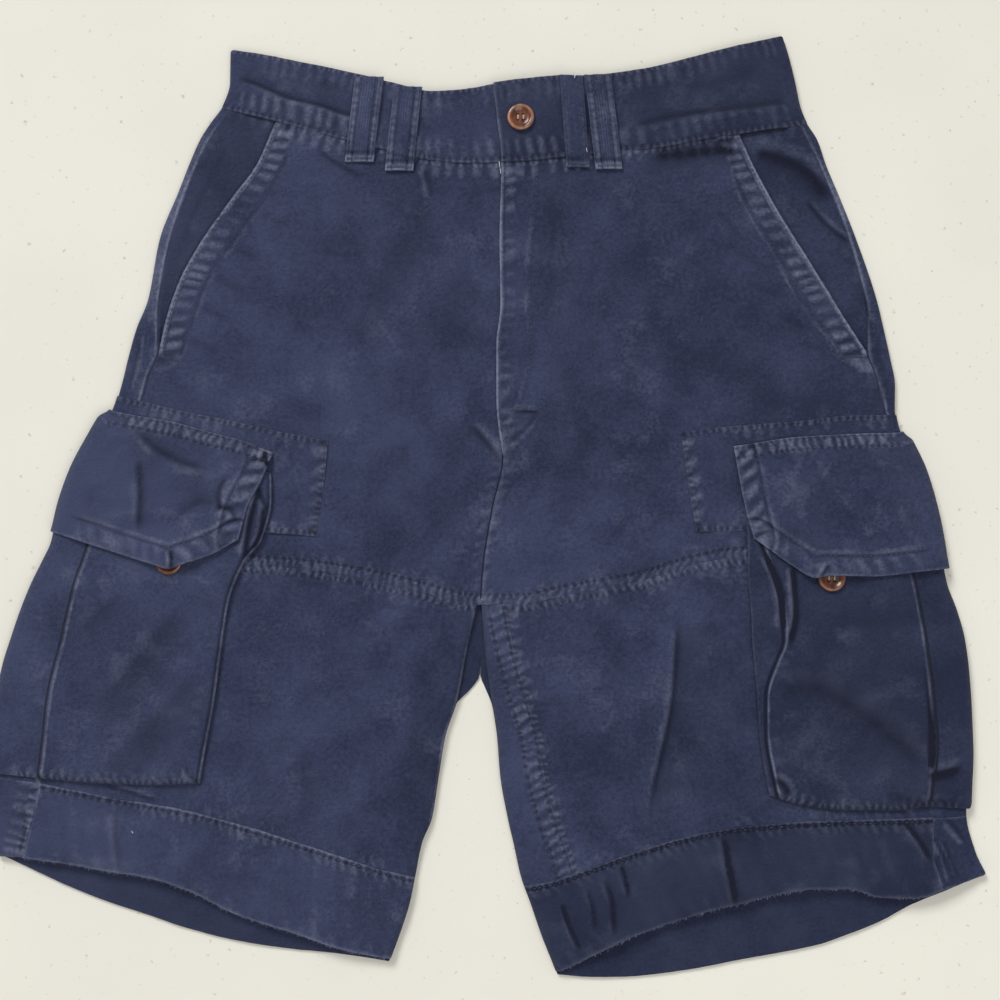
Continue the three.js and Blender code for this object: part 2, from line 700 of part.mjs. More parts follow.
// Waistband, from the middle of the back round each hip to the fly, where the right end laps the left
function makeWaistband(side) {
  const sign = outward[side];
  const flyEnd = side === 'left' ? shift(middle, flyUnderlap) : shift(middle, 0);
  const backMiddle = () => -4.1 + sign * halfGap;
  const edges = [waistTop, shift(waistSeam, halfGap)];
  const under = [waistTop, straightUnder(railOf(side, bandFoldRadius), backInner[side], waistSeam, halfGap)];
  wrapped(side, `waistband_${side}`, flyEnd, backMiddle, edges, under, {
    radius: bandFoldRadius,
    rows: even(5),
    topColumns: 18,
    underColumns: 6,
    height: (x, y) => bandTop(side, x, y),
    thickness: doubledTwill,
  });
}

// Back of a leg, flat on the table and turned up round the side as far as its seam
function makeBack(side) {
  const seamRail = shift(sideSeam[side], outward[side] * halfGap);
  const rail = railOf(side, sideFoldRadius);
  const edges = [shift(waistSeam, -halfGap), shift(hemSeam[side], halfGap)];
  const under = [
    straightUnder(rail, backInner[side], waistSeam, -halfGap),
    straightUnder(rail, backInner[side], hemSeam[side], halfGap),
  ];
  wrapped(side, `back_${side}`, seamRail, backInner[side], edges, under, {
    radius: sideFoldRadius,
    rows: sharedRows(seamRail, edges[0], edges[1]),
    topColumns: 2,
    underColumns: 4,
    height: (x, y) => legTop(side, x, y),
    thickness: twill,
  });
}

// Turned-up hem of the back, which shows inside the leg opening
function makeBackHem(side) {
  const seamRail = shift(sideSeam[side], outward[side] * halfGap);
  const rail = railOf(side, sideFoldRadius);
  const atRail = corner(rail, hemBack[side]);
  const atSeam = corner(seamRail, hemFront[side]);
  const sideEdge = (x) => mix(atRail[1], atSeam[1], (x - atRail[0]) / (atSeam[0] - atRail[0]));
  const top = shift(hemSeam[side], -halfGap);
  const underTop = straightUnder(rail, backInner[side], hemSeam[side], -halfGap);
  wrapped(side, `hem_back_${side}`, seamRail, backInner[side], [top, sideEdge], [underTop, hemBack[side]], {
    radius: sideFoldRadius,
    rows: even(4),
    topColumns: 2,
    underColumns: 13,
    height: (x, y) => legTop(side, x, y),
    thickness: doubledTwill,
  });
}

// Facing of the hip pocket, a step lower than the front and tucked under its slanted edge
function makeFacing(side) {
  const sign = outward[side];
  const seamRail = shift(sideSeam[side], -sign * halfGap);
  const tucked = shift(slash[side], -sign * facingTuck);
  const drop = (x, y) => {
    const width = Math.max(1, sign * (sideSeam[side](y) - slash[side](y)));
    return (twill + layerGap) * ease((sign * (sideSeam[side](y) - x)) / width / 0.7);
  };
  const edges = [shift(waistSeam, -halfGap), () => facingEnd];
  const plan = span([seamRail, tucked], edges, even(5), sharedRows(seamRail, edges[0], edges[1]));
  const grid = raise(plan, (x, y) => legTop(side, x, y) - drop(x, y));
  wall(`facing_${side}`, grid, twill, { ...twillFinish, plumb: true });
}

// Upper front from the waistband to the knee seam; the left one runs on under the right one at the fly
function makeUpperFront(side) {
  const sign = outward[side];
  const outer = (y) => (y > slashEnd ? slash[side](y) : sideSeam[side](y)) - sign * halfGap;
  const { from, to } = flyUnderlapEnd;
  const lap = (y) => (side === 'left' ? (flyUnderlap + halfGap) * ease((y - to) / (from - to)) : 0);
  const inner = (y) => middle(y) + sign * halfGap + lap(y);
  const edges = [shift(waistSeam, -halfGap), shift(knee, halfGap + bentSeamSlack)];
  const plan = span([outer, inner], edges, even(16), sharedRows(outer, edges[0], edges[1]));
  wall(`front_upper_${side}`, raise(plan, (x, y) => frontTop(side, x, y)), twill, twillFinish);
}

// Rails that let a piece round down to the back at its inseam
const inseamRails = (side) =>
  [inseamFoldWidth, 2.6, 1, 0.25, 0].map((by) => shift(legInner[side], outward[side] * by));

// Lower front from the knee seam to the hem; the right one stops at its turned inseam
function makeLowerFront(side) {
  const sign = outward[side];
  const outer = shift(sideSeam[side], -sign * halfGap);
  const edges = [shift(knee, -halfGap), shift(hemSeam[side], halfGap)];
  const turned = (y) => legInner[side](y) + turnWidth(y) + halfGap;
  const rails = side === 'left' ? [outer, ...inseamRails(side)] : [outer, turned];
  const counts = side === 'left' ? [14, 1, 1, 1, 1] : [15];
  const plan = spanAll(rails, edges, counts, sharedRows(outer, edges[0], edges[1]));
  wall(`front_lower_${side}`, raise(plan, (x, y) => legTop(side, x, y)), twill, twillFinish);
}

// The back's edge where it turns onto the right front at the inseam
function makeInseamTurn() {
  const turned = (y) => legInner.right(y) + turnWidth(y) - halfGap;
  const edges = [shift(knee, -halfGap), shift(hemSeam.right, halfGap)];
  const rows = sharedRows(shift(sideSeam.right, -halfGap), edges[0], edges[1]);
  const plan = spanAll([turned, ...inseamRails('right')], edges, [2, 1, 1, 1, 1], rows);
  wall('inseam_turn_right', raise(plan, (x, y) => legTop('right', x, y)), twill, trimFinish);
}

// Turned-up hem of the front, lifted off the back at the leg opening
function makeFrontHem(side) {
  const sign = outward[side];
  const outer = shift(sideSeam[side], -sign * halfGap);
  const edges = [shift(hemSeam[side], -halfGap), hemFront[side]];
  const plan = spanAll([outer, ...inseamRails(side)], edges, [16, 1, 1, 1, 1], even(4));
  const lowEdge = doubledTwill + layerGap;
  wall(`hem_front_${side}`, raise(plan, (x, y) => legTop(side, x, y, lowEdge)), doubledTwill, trimFinish);
}

function makePatch(side) {
  const edges = [patchTop[side], patchBottom[side]];
  const rows = sharedRows(railOf(side, sideFoldRadius), edges[0], edges[1]);
  overSide(side, `patch_${side}`, [patchEnd[side]], [10], edges, rows, () => patchLayer, patchTwill, twillFinish);
}

// How high a pocket's edge lies: on the patch behind it, and on the leg's front below that
const pocketRest = (y) => mix(pocketEdgeLayer, pocketOnPatchLayer, ease((y + 46) / 15));

// Cargo pocket: a raised face that rounds down at its inner edge and bottom, with a bellows step
function makePocket(side) {
  const sign = outward[side];
  const layer = (x, y) => {
    const width = sign * (pocketFace[side](y) - pocketSeam[side](y));
    const fromSeam = softRound((sign * (x - pocketSeam[side](y))) / width);
    const fromBottom = softRound((y - pocketBottom[side](x)) / pocketRoundWidth);
    const belowFlap = ease((stepUnderFlap.level - y) / stepUnderFlap.length);
    const step = pleatStep * ease((sign * (x - pleat[side](y))) / pleatWidth) * belowFlap;
    const { level, length, fromPleat } = pocketFoldFade;
    const settled = ease((sign * (pleat[side](y) - x)) / fromPleat) * ease((level - y) / length);
    const face = pocketDepth - step + foldHeight(pocketFoldRows, x, y) * settled;
    return pocketRest(y) + (face - pocketRest(y)) * fromSeam * fromBottom;
  };
  const pleatOuter = shift(pleat[side], sign * pleatWidth);
  const between = (t) => (y) => mix(pocketFace[side](y), pocketSeam[side](y), t);
  const rails = [pleatOuter, pleat[side], between(0), between(0.45), between(0.8), between(0.96), between(1)];
  const edges = [shift(flapTop[side], -underFlapMargin), pocketBottom[side]];
  const rows = evenThenRound(12, pocketLength, [pocketRoundWidth, 3, 1.6, 0.7, 0]);
  overSide(side, `cargo_pocket_${side}`, rails, [2, 1, 6, 1, 1, 1, 1], edges, rows, layer, twill, twillFinish);
}

// Flap over the pocket's mouth: low at its seam, over the pocket below it, raised over the button
function makeFlap(side) {
  const button = buttonPlaces.find((place) => place.name === `button_cargo_${side}`);
  const layer = (x, y) => {
    const fromSeam = ease((flapTop[side](x) - y) / flapRiseLength);
    const away = Math.hypot(x - button.x, y - button.y) - buttonDiameter / 2 - flapButtonRise.around;
    const lift = (buttonThickness + layerGap) * ease(1 - away / flapButtonRise.width);
    const { level, length } = flapFoldFade;
    const soft = Math.max(0, foldHeight(pocketFoldRows, x, y)) * ease((y - level) / length);
    return mix(flapSeamLayer, flapLayer, fromSeam) + lift + soft * fromSeam;
  };
  const edges = [flapTop[side], flapBottom[side]];
  overSide(side, `flap_${side}`, [flapEnd[side]], [15], edges, even(8), layer, flapTwill, trimFinish);
}

// Belt loop: a strip over the waistband, arched a little between its two sewn ends
function makeLoop(row) {
  const side = row.top < 0 ? 'left' : 'right';
  const rows = even(11);
  const grid = rows.map((v) => {
    const centre = mix(row.top, row.bottom, v);
    const start = waistTop(row.top) - loopBelowTop;
    const end = waistSeam(row.bottom) - row.belowSeam;
    return even(2).map((u) => {
      const x = centre + (u - 0.5) * row.width;
      const y = mix(start, end, v);
      const band = ease((y - waistSeam(x) + loopDrop.above) / loopDrop.length);
      const under = Math.max(bandTop(side, x, y) * band, frontTop(side, x, y));
      return [x, y, under + layerGap + loopTwill + loopArch * Math.sin(Math.PI * v)];
    });
  });
  wall(row.name, grid, loopTwill, trimFinish);
}

// Turned horn button with a raised rim, a dished middle and four thread holes
function makeButton(place, seat) {
  const r = buttonDiameter / 2;
  const t = buttonThickness;
  const profile = [[0, 0], [r * 0.62, 0], [r * 0.93, t * 0.3], [r, t * 0.6], [r * 0.93, t * 0.93], [r * 0.82, t],
    [r * 0.66, t * 0.82], [r * 0.5, t * 0.6], [0, t * 0.56]];
  const lathe = new THREE.LatheGeometry(profile.map(([x, y]) => new THREE.Vector2(x, y)), 20);
  lathe.rotateX(Math.PI / 2);
  let body = asManifold(lathe);
  const holeRadius = 0.95;
  const holeOffset = 1.7;
  for (const [i, j] of [[1, 1], [1, -1], [-1, 1], [-1, -1]]) {
    const hole = new THREE.CylinderGeometry(holeRadius, holeRadius, t * 4, 6);
    hole.rotateX(Math.PI / 2);
    hole.translate(i * holeOffset, j * holeOffset, 0);
    body = body.subtract(asManifold(hole));
  }
  const geometry = asGeometry(body);
  geometry.translate(place.x, place.y, seat);
  solid(place.name, geometry, hornFinish);
}

function asManifold(source) {
  const plain = source.index ? source.clone() : source;
  plain.deleteAttribute('normal');
  plain.deleteAttribute('uv');
  const merged = mergeVertices(plain, 1e-4);
  const positions = merged.attributes.position.array;
  const kept = [];
  const index = merged.index.array;
  for (let i = 0; i < index.length; i += 3) {
    const [a, b, c] = [index[i], index[i + 1], index[i + 2]];
    if (a !== b && b !== c && c !== a) kept.push(a, b, c);
  }
  const corners = new Float32Array(positions);
  const outwardFaces = signedVolume(corners, kept) < 0 ? kept.slice().reverse() : kept;
  const mesh = new wasm.Mesh({ numProp: 3, vertProperties: corners, triVerts: new Uint32Array(outwardFaces) });
  return new wasm.Manifold(mesh);
}

function signedVolume(corners, faces) {
  const at = (i) => new THREE.Vector3(corners[i * 3], corners[i * 3 + 1], corners[i * 3 + 2]);
  let sum = 0;
  for (let i = 0; i < faces.length; i += 3) {
    sum += at(faces[i]).dot(at(faces[i + 1]).cross(at(faces[i + 2])));
  }
  return sum / 6;
}

function asGeometry(body) {
  const mesh = body.getMesh();
  const geometry = new THREE.BufferGeometry();
  geometry.setAttribute('position', new THREE.Float32BufferAttribute(mesh.vertProperties, 3));
  geometry.setIndex(Array.from(mesh.triVerts));
  return geometry;
}

for (const side of sides) {
  makeWaistband(side);
  makeBack(side);
  makeBackHem(side);
  makeFacing(side);
  makeUpperFront(side);
  makeLowerFront(side);
  makeFrontHem(side);
  makePatch(side);
  makePocket(side);
  makeFlap(side);
}
makeInseamTurn();
beltLoops.forEach(makeLoop);
for (const place of buttonPlaces) {
  const side = place.x < 0 ? 'left' : 'right';
  const onBand = place.name === 'button_waist';
  const under = onBand ? bandTop(side, place.x, place.y) : legTop(side, place.x, place.y) + pocketDepth;
  makeButton(place, under + seamGap);
}

// The frame's origin is the middle of the whole garment's footprint, on the table
const footprint = new THREE.Box3().setFromObject(shorts).getCenter(new THREE.Vector3());
shorts.children.forEach((mesh) => mesh.position.set(-footprint.x, -footprint.y, 0));

export default shorts;
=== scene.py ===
# Cargo shorts laid flat on a table, front side up. Shapes are worked out in millimetres in the table's
# frame, with +X to the viewer's right and +Y to the waist, and go into the meshes in metres.
import math
import bpy
import numpy as np
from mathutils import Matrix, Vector


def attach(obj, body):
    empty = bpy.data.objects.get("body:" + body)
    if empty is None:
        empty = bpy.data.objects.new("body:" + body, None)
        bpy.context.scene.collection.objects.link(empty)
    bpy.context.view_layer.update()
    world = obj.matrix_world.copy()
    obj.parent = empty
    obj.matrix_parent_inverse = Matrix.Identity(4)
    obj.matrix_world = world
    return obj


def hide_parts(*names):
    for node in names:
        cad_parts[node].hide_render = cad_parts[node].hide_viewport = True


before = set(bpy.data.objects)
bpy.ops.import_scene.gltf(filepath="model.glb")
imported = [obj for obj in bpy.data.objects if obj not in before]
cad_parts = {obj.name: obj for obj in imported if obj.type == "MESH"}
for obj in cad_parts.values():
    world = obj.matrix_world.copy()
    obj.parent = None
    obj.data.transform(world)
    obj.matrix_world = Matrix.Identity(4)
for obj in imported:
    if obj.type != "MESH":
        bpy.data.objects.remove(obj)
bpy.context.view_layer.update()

print("frame loaded with", len(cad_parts), "nodes")

photo = {"millimetresPerPixel": 0.62, "distance": 1000, "tilt": math.radians(6), "origin": (8, -4)}
tableShift = (-0.27022, -0.33424, 0)  # from the table's frame to the middle of the garment's footprint


# Camera as in the photo, a metre away and leaning a little towards the hems
def placeCamera():
    data = bpy.data.cameras.new("photoCamera")
    data.sensor_width = 36
    data.lens = 36 * photo["distance"] / (1000 * photo["millimetresPerPixel"])
    camera = bpy.data.objects.new("photoCamera", data)
    bpy.context.collection.objects.link(camera)
    centre = Vector((photo["origin"][0] + tableShift[0], photo["origin"][1] + tableShift[1], 0)) / 1000
    away = Vector((0, -math.sin(photo["tilt"]), math.cos(photo["tilt"])))
    camera.location = centre + away * photo["distance"] / 1000
    camera.rotation_euler = (photo["tilt"], 0, 0)
    bpy.context.scene.camera = camera


placeCamera()


# Where the lines of sight through pixels of the photo meet a level above the table
def fromPhoto(points, height=6.5):
    pixels = np.array(points, float)
    right = (pixels[:, 0] - 500) * photo["millimetresPerPixel"]
    up = (500 - pixels[:, 1]) * photo["millimetresPerPixel"]
    away, sine, cosine = photo["distance"], math.sin(photo["tilt"]), math.cos(photo["tilt"])
    reach = (away * cosine - height) / (away * cosine - up * sine)
    x = reach * right + photo["origin"][0]
    y = -away * sine + reach * (away * sine + up * cosine) + photo["origin"][1]
    return np.stack([x, y], axis=1)


def mix(a, b, t):
    return a + (b - a) * t


def ease(t):
    t = np.clip(t, 0, 1)
    return t * t * (3 - 2 * t)


def quarterRound(t):
    return np.sqrt(1 - (1 - np.clip(t, 0, 1)) ** 2)


# Smooth curves through a table's rows: a cubic between each two rows that never swings past them, straight
# beyond the ends. One curve for each column after the first
def curves(rows):
    table = np.array(sorted(rows), float)
    at = table[:, 0]

    def through(value):
        rise = np.diff(value) / np.diff(at)
        product = rise[:-1] * rise[1:]
        slope = np.concatenate([rise[:1], np.zeros(len(at) - 2), rise[-1:]])
        same = product > 0
        slope[1:-1][same] = 2 * product[same] / (rise[:-1] + rise[1:])[same]

        def curve(x):
            x = np.asarray(x, float)
            i = np.clip(np.searchsorted(at, x) - 1, 0, len(at) - 2)
            span = at[i + 1] - at[i]
            t = np.clip((x - at[i]) / span, 0, 1)
            curl = slope[i] * t * (1 - t) ** 2 - slope[i + 1] * t * t * (1 - t)
            inside = mix(value[i], value[i + 1], ease(t)) + curl * span
            return inside + np.minimum(x - at[0], 0) * slope[0] + np.maximum(x - at[-1], 0) * slope[-1]
        return curve
    return [through(table[:, column]) for column in range(1, table.shape[1])]


def bySide(rows):
    left, right = curves(rows)
    return {"left": left, "right": right}


sides = ("left", "right")
outward = {"left": -1, "right": 1}

# Edges of the garment: y for each x, or x of the left and right one for each y
waistTop, waistSeam = curves([
    (-172, 285, 246), (-134, 278, 236), (-91, 269, 224), (-59, 261, 216), (-35, 255.5, 210.5),
    (-11, 257.5, 209), (8, 261, 209), (46, 265, 212), (71, 266.5, 215), (103, 271, 218), (141, 281, 225),
    (188, 292.5, 232), (204, 296, 234.5)])
legOuter = bySide([
    (292, -163, 188), (280, -163.5, 191.5), (262, -163.5, 195.5), (246, -168, 198.5), (234, -176, 203),
    (224, -182, 209), (208, -188.5, 214), (190, -195, 221), (160, -206, 232), (121, -212.5, 244),
    (102, -219.5, 248), (84, -224, 251.5), (68, -227.5, 254), (52, -232, 253.5), (35, -241, 256.5),
    (12, -252.5, 266), (-8, -259, 271.5), (-26, -263, 275), (-44, -271, 277.5), (-58, -277.5, 280),
    (-74, -283.5, 285.5), (-90, -288.5, 289.5), (-108, -293.5, 291.5), (-130, -297, 292.5),
    (-157, -297.5, 292.8), (-178, -298, 291.5), (-196, -299, 290.5), (-219, -296, 295.5),
    (-232, -293, 301.5)])
sideSeam = bySide([
    (246, -161, 191), (234, -169, 196.5), (208, -182.5, 208.5), (175, -194, 221.5), (140, -202, 231.5),
    (111, -205, 236.5), (88, -204, 236), (73, -210, 241), (58, -214, 244.5), (8, -233, 256),
    (-34, -245, 261), (-94, -259, 268), (-136, -267, 272), (-175, -270, 270), (-221, -279, 269),
    (-240, -282, 273)])
slash = bySide([
    (240, -131, 152.5), (229, -136, 158), (208, -145, 167), (184, -162, 179), (157, -180, 194.5),
    (131, -193, 210), (107, -200.5, 224), (88, -204, 236)])
middle, = curves([
    (264, 3.5), (237, 6), (209, 9), (159, 8), (118, 8.5), (92, 6), (58, 6), (21, 9), (-8, 3), (-45, -3),
    (-66, -4.5)])
innerLeft, innerRight, turnWidth = curves([
    (-66, -5.2, -3.8, 14), (-97, -12, -1.5, 18), (-126, -17.5, 2.5, 22), (-149, -25, 6, 25),
    (-173, -29, 8, 27), (-198, -33, 12.5, 29), (-213, -39, 16, 31), (-233, -43, 20.5, 33),
    (-248, -46, 26, 33), (-268, -52.5, 33, 33), (-284, -58.5, 39.5, 33), (-296, -63, 44, 33)])
legInner = {"left": innerLeft, "right": innerRight}
backInner = bySide([
    (250, -4.3, -3.9), (-90, -4.3, -3.9), (-112, -4.9, -3.5), (-120, -10, -0.5), (-130, -19.5, 3.5),
    (-149, -26.2, 7.2), (-173, -30.2, 9.2), (-198, -34.2, 13.7), (-213, -40.2, 17.2), (-233, -44.2, 21.7),
    (-248, -47.2, 27.2), (-268, -53.7, 34.2), (-284, -59.5, 40.5), (-296, -64, 45)])
knee, = curves([
    (-290, -30), (-253, -34), (-207, -42), (-145, -45), (-100, -49), (-53, -58), (-4.5, -69), (20, -69),
    (45, -64), (94, -55), (131, -44), (158, -40), (210, -45), (290, -51)])
leftHem = curves([
    (-303, -172.5, -217.5, -217.5), (-292, -174, -219.5, -221), (-278, -176, -221.5, -227),
    (-255, -180, -224.5, -237.5), (-232, -184.5, -228.5, -246.5), (-203, -189.5, -233, -256),
    (-178, -194, -241, -264), (-151, -201, -254, -270.5), (-118, -211, -264.5, -275.5),
    (-88, -220.5, -274.5, -278.5), (-58, -229.5, -281, -283), (-40, -234, -284, -286)])
rightHem = curves([
    (14, -240, -297, -293), (40, -235, -289.5, -290.5), (62, -227.5, -279.5, -292), (80, -221, -270.5, -292),
    (116, -210, -257.5, -288.5), (152, -203, -248, -282), (200, -199.5, -239.5, -273),
    (216, -199, -239.5, -267.5), (237, -198.5, -244.5, -259.5), (256, -198, -245, -249.5),
    (280, -197, -238, -240), (303, -196, -230.5, -230.5)])
hemSeam, hemFront, hemBack = [{"left": leftHem[i], "right": rightHem[i]} for i in range(3)]
patchEdges = {
    "left": curves([(-240, 63, -20), (-190, 51, -24), (-153, 43.5, -24), (-122, 36.5, -26), (-98, 32, -28)]),
    "right": curves([(120, 38, -25), (156, 41.5, -24), (194, 44.5, -24), (225, 48, -24), (262, 48.5, -24)])}
patchEnd = bySide([(40, -97.5, 119.5), (8, -100, 123.5), (-30, -106, 129.5)])
flapEdges = {
    "left": curves([
        (-275, 61, -22), (-252, 55, -29.5), (-226, 49.5, -38), (-202, 45, -45.5), (-194, 43.5, -48),
        (-186, 41.5, -45.5), (-166, 36, -38), (-151, 32, -29.5), (-131, 24, -20)]),
    "right": curves([
        (150, 28, -20), (163, 30, -29), (185, 33.5, -45), (200, 34.8, -53.5), (207, 35.2, -52),
        (234, 36.4, -52.3), (262, 37.5, -49.5), (286, 38.5, -47)])}
flapEnd = bySide([(30, -129.5, 151.5), (7, -138, 155), (-11, -147, 158.5), (-32, -152, 163.5)])
pocketRails = {
    "left": curves([
        (24, -133, -138.5), (-5, -132, -138), (-30, -138, -144.5), (-43, -148, -154), (-66, -157, -162.5),
        (-97, -161.5, -167), (-127, -165, -170.5), (-163, -171, -176), (-180, -173.5, -178.5)]),
    "right": curves([
        (24, 154.5, 160), (-5, 158, 163.5), (-28, 159.5, 168), (-48, 159.5, 175), (-72, 161, 181),
        (-90, 161.5, 182), (-106, 162.5, 176), (-124, 164, 170.5), (-148, 165, 170), (-172, 168, 173.5),
        (-190, 172, 177.5)])}
pocketBottom = {
    "left": curves([(-300, -171), (-270, -174), (-235, -177), (-203, -178), (-173, -177)])[0],
    "right": curves([(170, -184), (189, -190), (219, -193), (248, -193), (264, -191), (292, -192.5)])[0]}
pleat = bySide([
    (50, -222, 243), (-34, -244, 256), (-60, -252, 262), (-94, -259, 267), (-121, -265, 270),
    (-151, -268, 271.5), (-180, -270.5, 268)])

# Thicknesses and heights of the layers, as in the solids
cloth = {
    "twill": 1.2, "doubled": 2.0, "patch": 1.1, "flap": 1.3, "loop": 1.8,
    "seamGap": 0.3, "seamLap": 0.35, "layerGap": 0.4, "sideRadius": 2.6, "bandRadius": 3.0,
    "rise": 1.2, "riseWidth": 24, "hemLift": 2.6, "hemLiftLength": 46,
    "inseamWidth": 5, "pocketDepth": 4.8, "pleatStep": 1.7, "pleatWidth": 2.6, "flapRise": 8.5,
    "flapCurl": 1.0, "clearOfTable": 0.12}
halfGap = -cloth["seamLap"]
patchLayer = cloth["patch"]
pocketEdgeLayer = cloth["layerGap"] + cloth["twill"]
pocketOnPatch = patchLayer + pocketEdgeLayer
flapSeamLayer = patchLayer + cloth["layerGap"] + cloth["flap"]
flapLayer = cloth["pocketDepth"] + cloth["layerGap"] + cloth["flap"]

# Folds: both ends, half width and height, a hollow where the height is below 0
mainFolds = [
    (116, -80, 98, -205, 13, 3.2), (143, -196, 153, -262, 9, 2.2), (66, -225, 78, -286, 9, 1.6),
    (-112, -140, -122, -262, 13, 1.8), (-60, -150, -92, -240, 14, 1.4), (-12, 45, -70, -40, 13, 1.6),
    (22, 30, 78, -30, 13, 1.6), (-52, 190, -86, 70, 18, 1.5), (84, 196, 128, 90, 18, 1.5),
    (112, 208, 160, 214, 9, -1.4)]
pocketFolds = [
    (-182, -60, -236, -140, 12, 1.5), (188, -118, 262, -150, 13, 1.6), (-214, 34, -168, 14, 9, 1.3)]


# Sum of folds at each point: a ridge is a bell across its line and fades towards both ends
def foldHeight(rows, x, y):
    total = np.zeros(np.shape(x))
    for x0, y0, x1, y1, halfWidth, height in rows:
        length = math.hypot(x1 - x0, y1 - y0)
        tx, ty = (x1 - x0) / length, (y1 - y0) / length
        t = ((x - x0) * tx + (y - y0) * ty) / length
        off = ((x - x0) * ty - (y - y0) * tx) / halfWidth
        total += height * ease((t + 0.15) / 0.35) * ease((1.15 - t) / 0.35) * np.exp(-2 * off * off)
    return total


# Smooth random heights between -1 and 1 on a lattice of cells
def noise(x, y, cell, seed):
    u, v = np.asarray(x) / cell, np.asarray(y) / cell
    i, j = np.floor(u), np.floor(v)

    def at(a, b):
        raw = np.sin(a * 127.1 + b * 311.7 + seed * 74.7) * 43758.5453
        return 2 * (raw - np.floor(raw)) - 1
    s, t = ease(u - i), ease(v - j)
    return mix(mix(at(i, j), at(i + 1, j), s), mix(at(i, j + 1), at(i + 1, j + 1), s), t)


# Distance from a point in to the side fold, square to the fold
def insideOf(side, x, y):
    slope = (legOuter[side](y + 4) - legOuter[side](y - 4)) / 8
    return outward[side] * (legOuter[side](y) - x) / np.hypot(1, slope)


softFolds = [
    (-40, 205, -50, 150, 7, 0.7), (36, 206, 44, 150, 5, 0.8), (52, 204, 62, 160, 4.5, 0.8),
    (24, 200, 26, 140, 5, 0.6), (-120, 150, -60, 60, 16, 0.8), (-150, 60, -60, -20, 20, 0.7),
    (120, 160, 60, 40, 20, 0.8), (200, 150, 150, 60, 14, 0.7), (40, -90, 30, -200, 12, 0.9),
    (-40, -90, -52, -200, 10, 0.8), (-100, -70, -96, -190, 16, 0.8), (86, -80, 70, -200, 14, -0.9),
    (140, -70, 132, -190, 10, -0.8), (-150, -190, -146, -250, 7, 0.9), (-200, -188, -204, -232, 8, 0.7),
    (100, -212, 110, -262, 7, 0.9), (190, -200, 194, -240, 7, 0.8), (-8, 20, -34, -60, 6, 1.0),
    (14, 16, 30, -64, 6, 0.9)]


# Height of a leg's upper face: flat near the side fold, higher in the middle, gaping at the hem
def legTop(side, x, y, lowEdge=1.6):
    sign = outward[side]
    settled = ease((insideOf(side, x, y) - cloth["sideRadius"]) / cloth["riseWidth"])
    fromInseam = sign * (x - legInner[side](y))
    toHem = y - hemFront[side](x)
    gape = cloth["hemLift"] * ease(1 - toHem / cloth["hemLiftLength"]) * settled * ease((fromInseam - 4) / 34)
    waves = 0.55 * noise(x, y, 62, 3) + 0.28 * noise(x, y, 27, 4)
    folds = foldHeight(mainFolds, x, y) + foldHeight(softFolds, x, y) + waves
    full = 2 * cloth["sideRadius"] + (cloth["rise"] + folds) * settled + gape
    rounded = lowEdge + (full - lowEdge) * quarterRound(fromInseam / cloth["inseamWidth"])
    return mix(full, rounded, ease((-60 - y) / 26))


# Extra height of the right side where it lies over the left one at the fly
def flyOverlap(x, y, thickness, near, far):
    across = ease((far - (x - middle(y))) / (far - near))
    return (thickness + cloth["layerGap"]) * across * ease((y - 25) / 18)


def bandTop(side, x, y):
    inside = outward[side] * (legOuter[side](y) - x) - cloth["bandRadius"]
    lap = flyOverlap(x, y, cloth["doubled"], 40, 62) if side == "right" else 0
    settled = ease(inside / cloth["riseWidth"])
    return 2 * cloth["bandRadius"] + (cloth["rise"] + 0.3 * noise(x, y, 34, 8)) * settled + lap


def frontTop(side, x, y):
    lap = flyOverlap(x, y, cloth["twill"], 28, 50) if side == "right" else 0
    return legTop(side, x, y) + lap


# Line through points, smooth, with a point each few millimetres
def smoothLine(points, step=3.0):
    points = np.array(points, float)
    length = np.concatenate([[0], np.cumsum(np.hypot(*np.diff(points, axis=0).T))])
    x, y = curves(np.column_stack([length, points]).tolist())
    at = np.linspace(0, length[-1], max(2, int(length[-1] / step) + 1))
    return np.column_stack([x(at), y(at)])


def lineAcross(edge, start, end):
    x = np.linspace(start, end, int(abs(end - start) / 3) + 2)
    return np.column_stack([x, edge(x)])


def lineDown(rail, start, end):
    y = np.linspace(start, end, int(abs(end - start) / 3) + 2)
    return np.column_stack([rail(y), y])


# Signed distance from a line, positive on the left of its run, and the length run to the nearest point
def nearest(line, x, y, reach=30):
    off, run = np.full(np.size(x), 1e3), np.zeros(np.size(x))
    px, py = np.ravel(x), np.ravel(y)
    low, high = line.min(axis=0) - reach, line.max(axis=0) + reach
    inBox = np.flatnonzero((px > low[0]) & (px < high[0]) & (py > low[1]) & (py < high[1]))
    px, py = px[inBox], py[inBox]
    best = np.full(px.shape, 1e9)
    side, along, gone = np.zeros(px.shape), np.zeros(px.shape), 0.0
    for (ax, ay), (bx, by) in zip(line[:-1], line[1:]):
        length = math.hypot(bx - ax, by - ay)
        tx, ty = (bx - ax) / length, (by - ay) / length
        t = np.clip((px - ax) * tx + (py - ay) * ty, 0, length)
        dx, dy = px - ax - t * tx, py - ay - t * ty
        distance = np.hypot(dx, dy)
        closer = distance < best
        best = np.where(closer, distance, best)
        side = np.where(closer, np.where(tx * dy - ty * dx < 0, -1.0, 1.0), side)
        along = np.where(closer, gone + t, along)
        gone += length
    off[inBox], run[inBox] = best * side, along
    return off.reshape(np.shape(x)), run.reshape(np.shape(x))


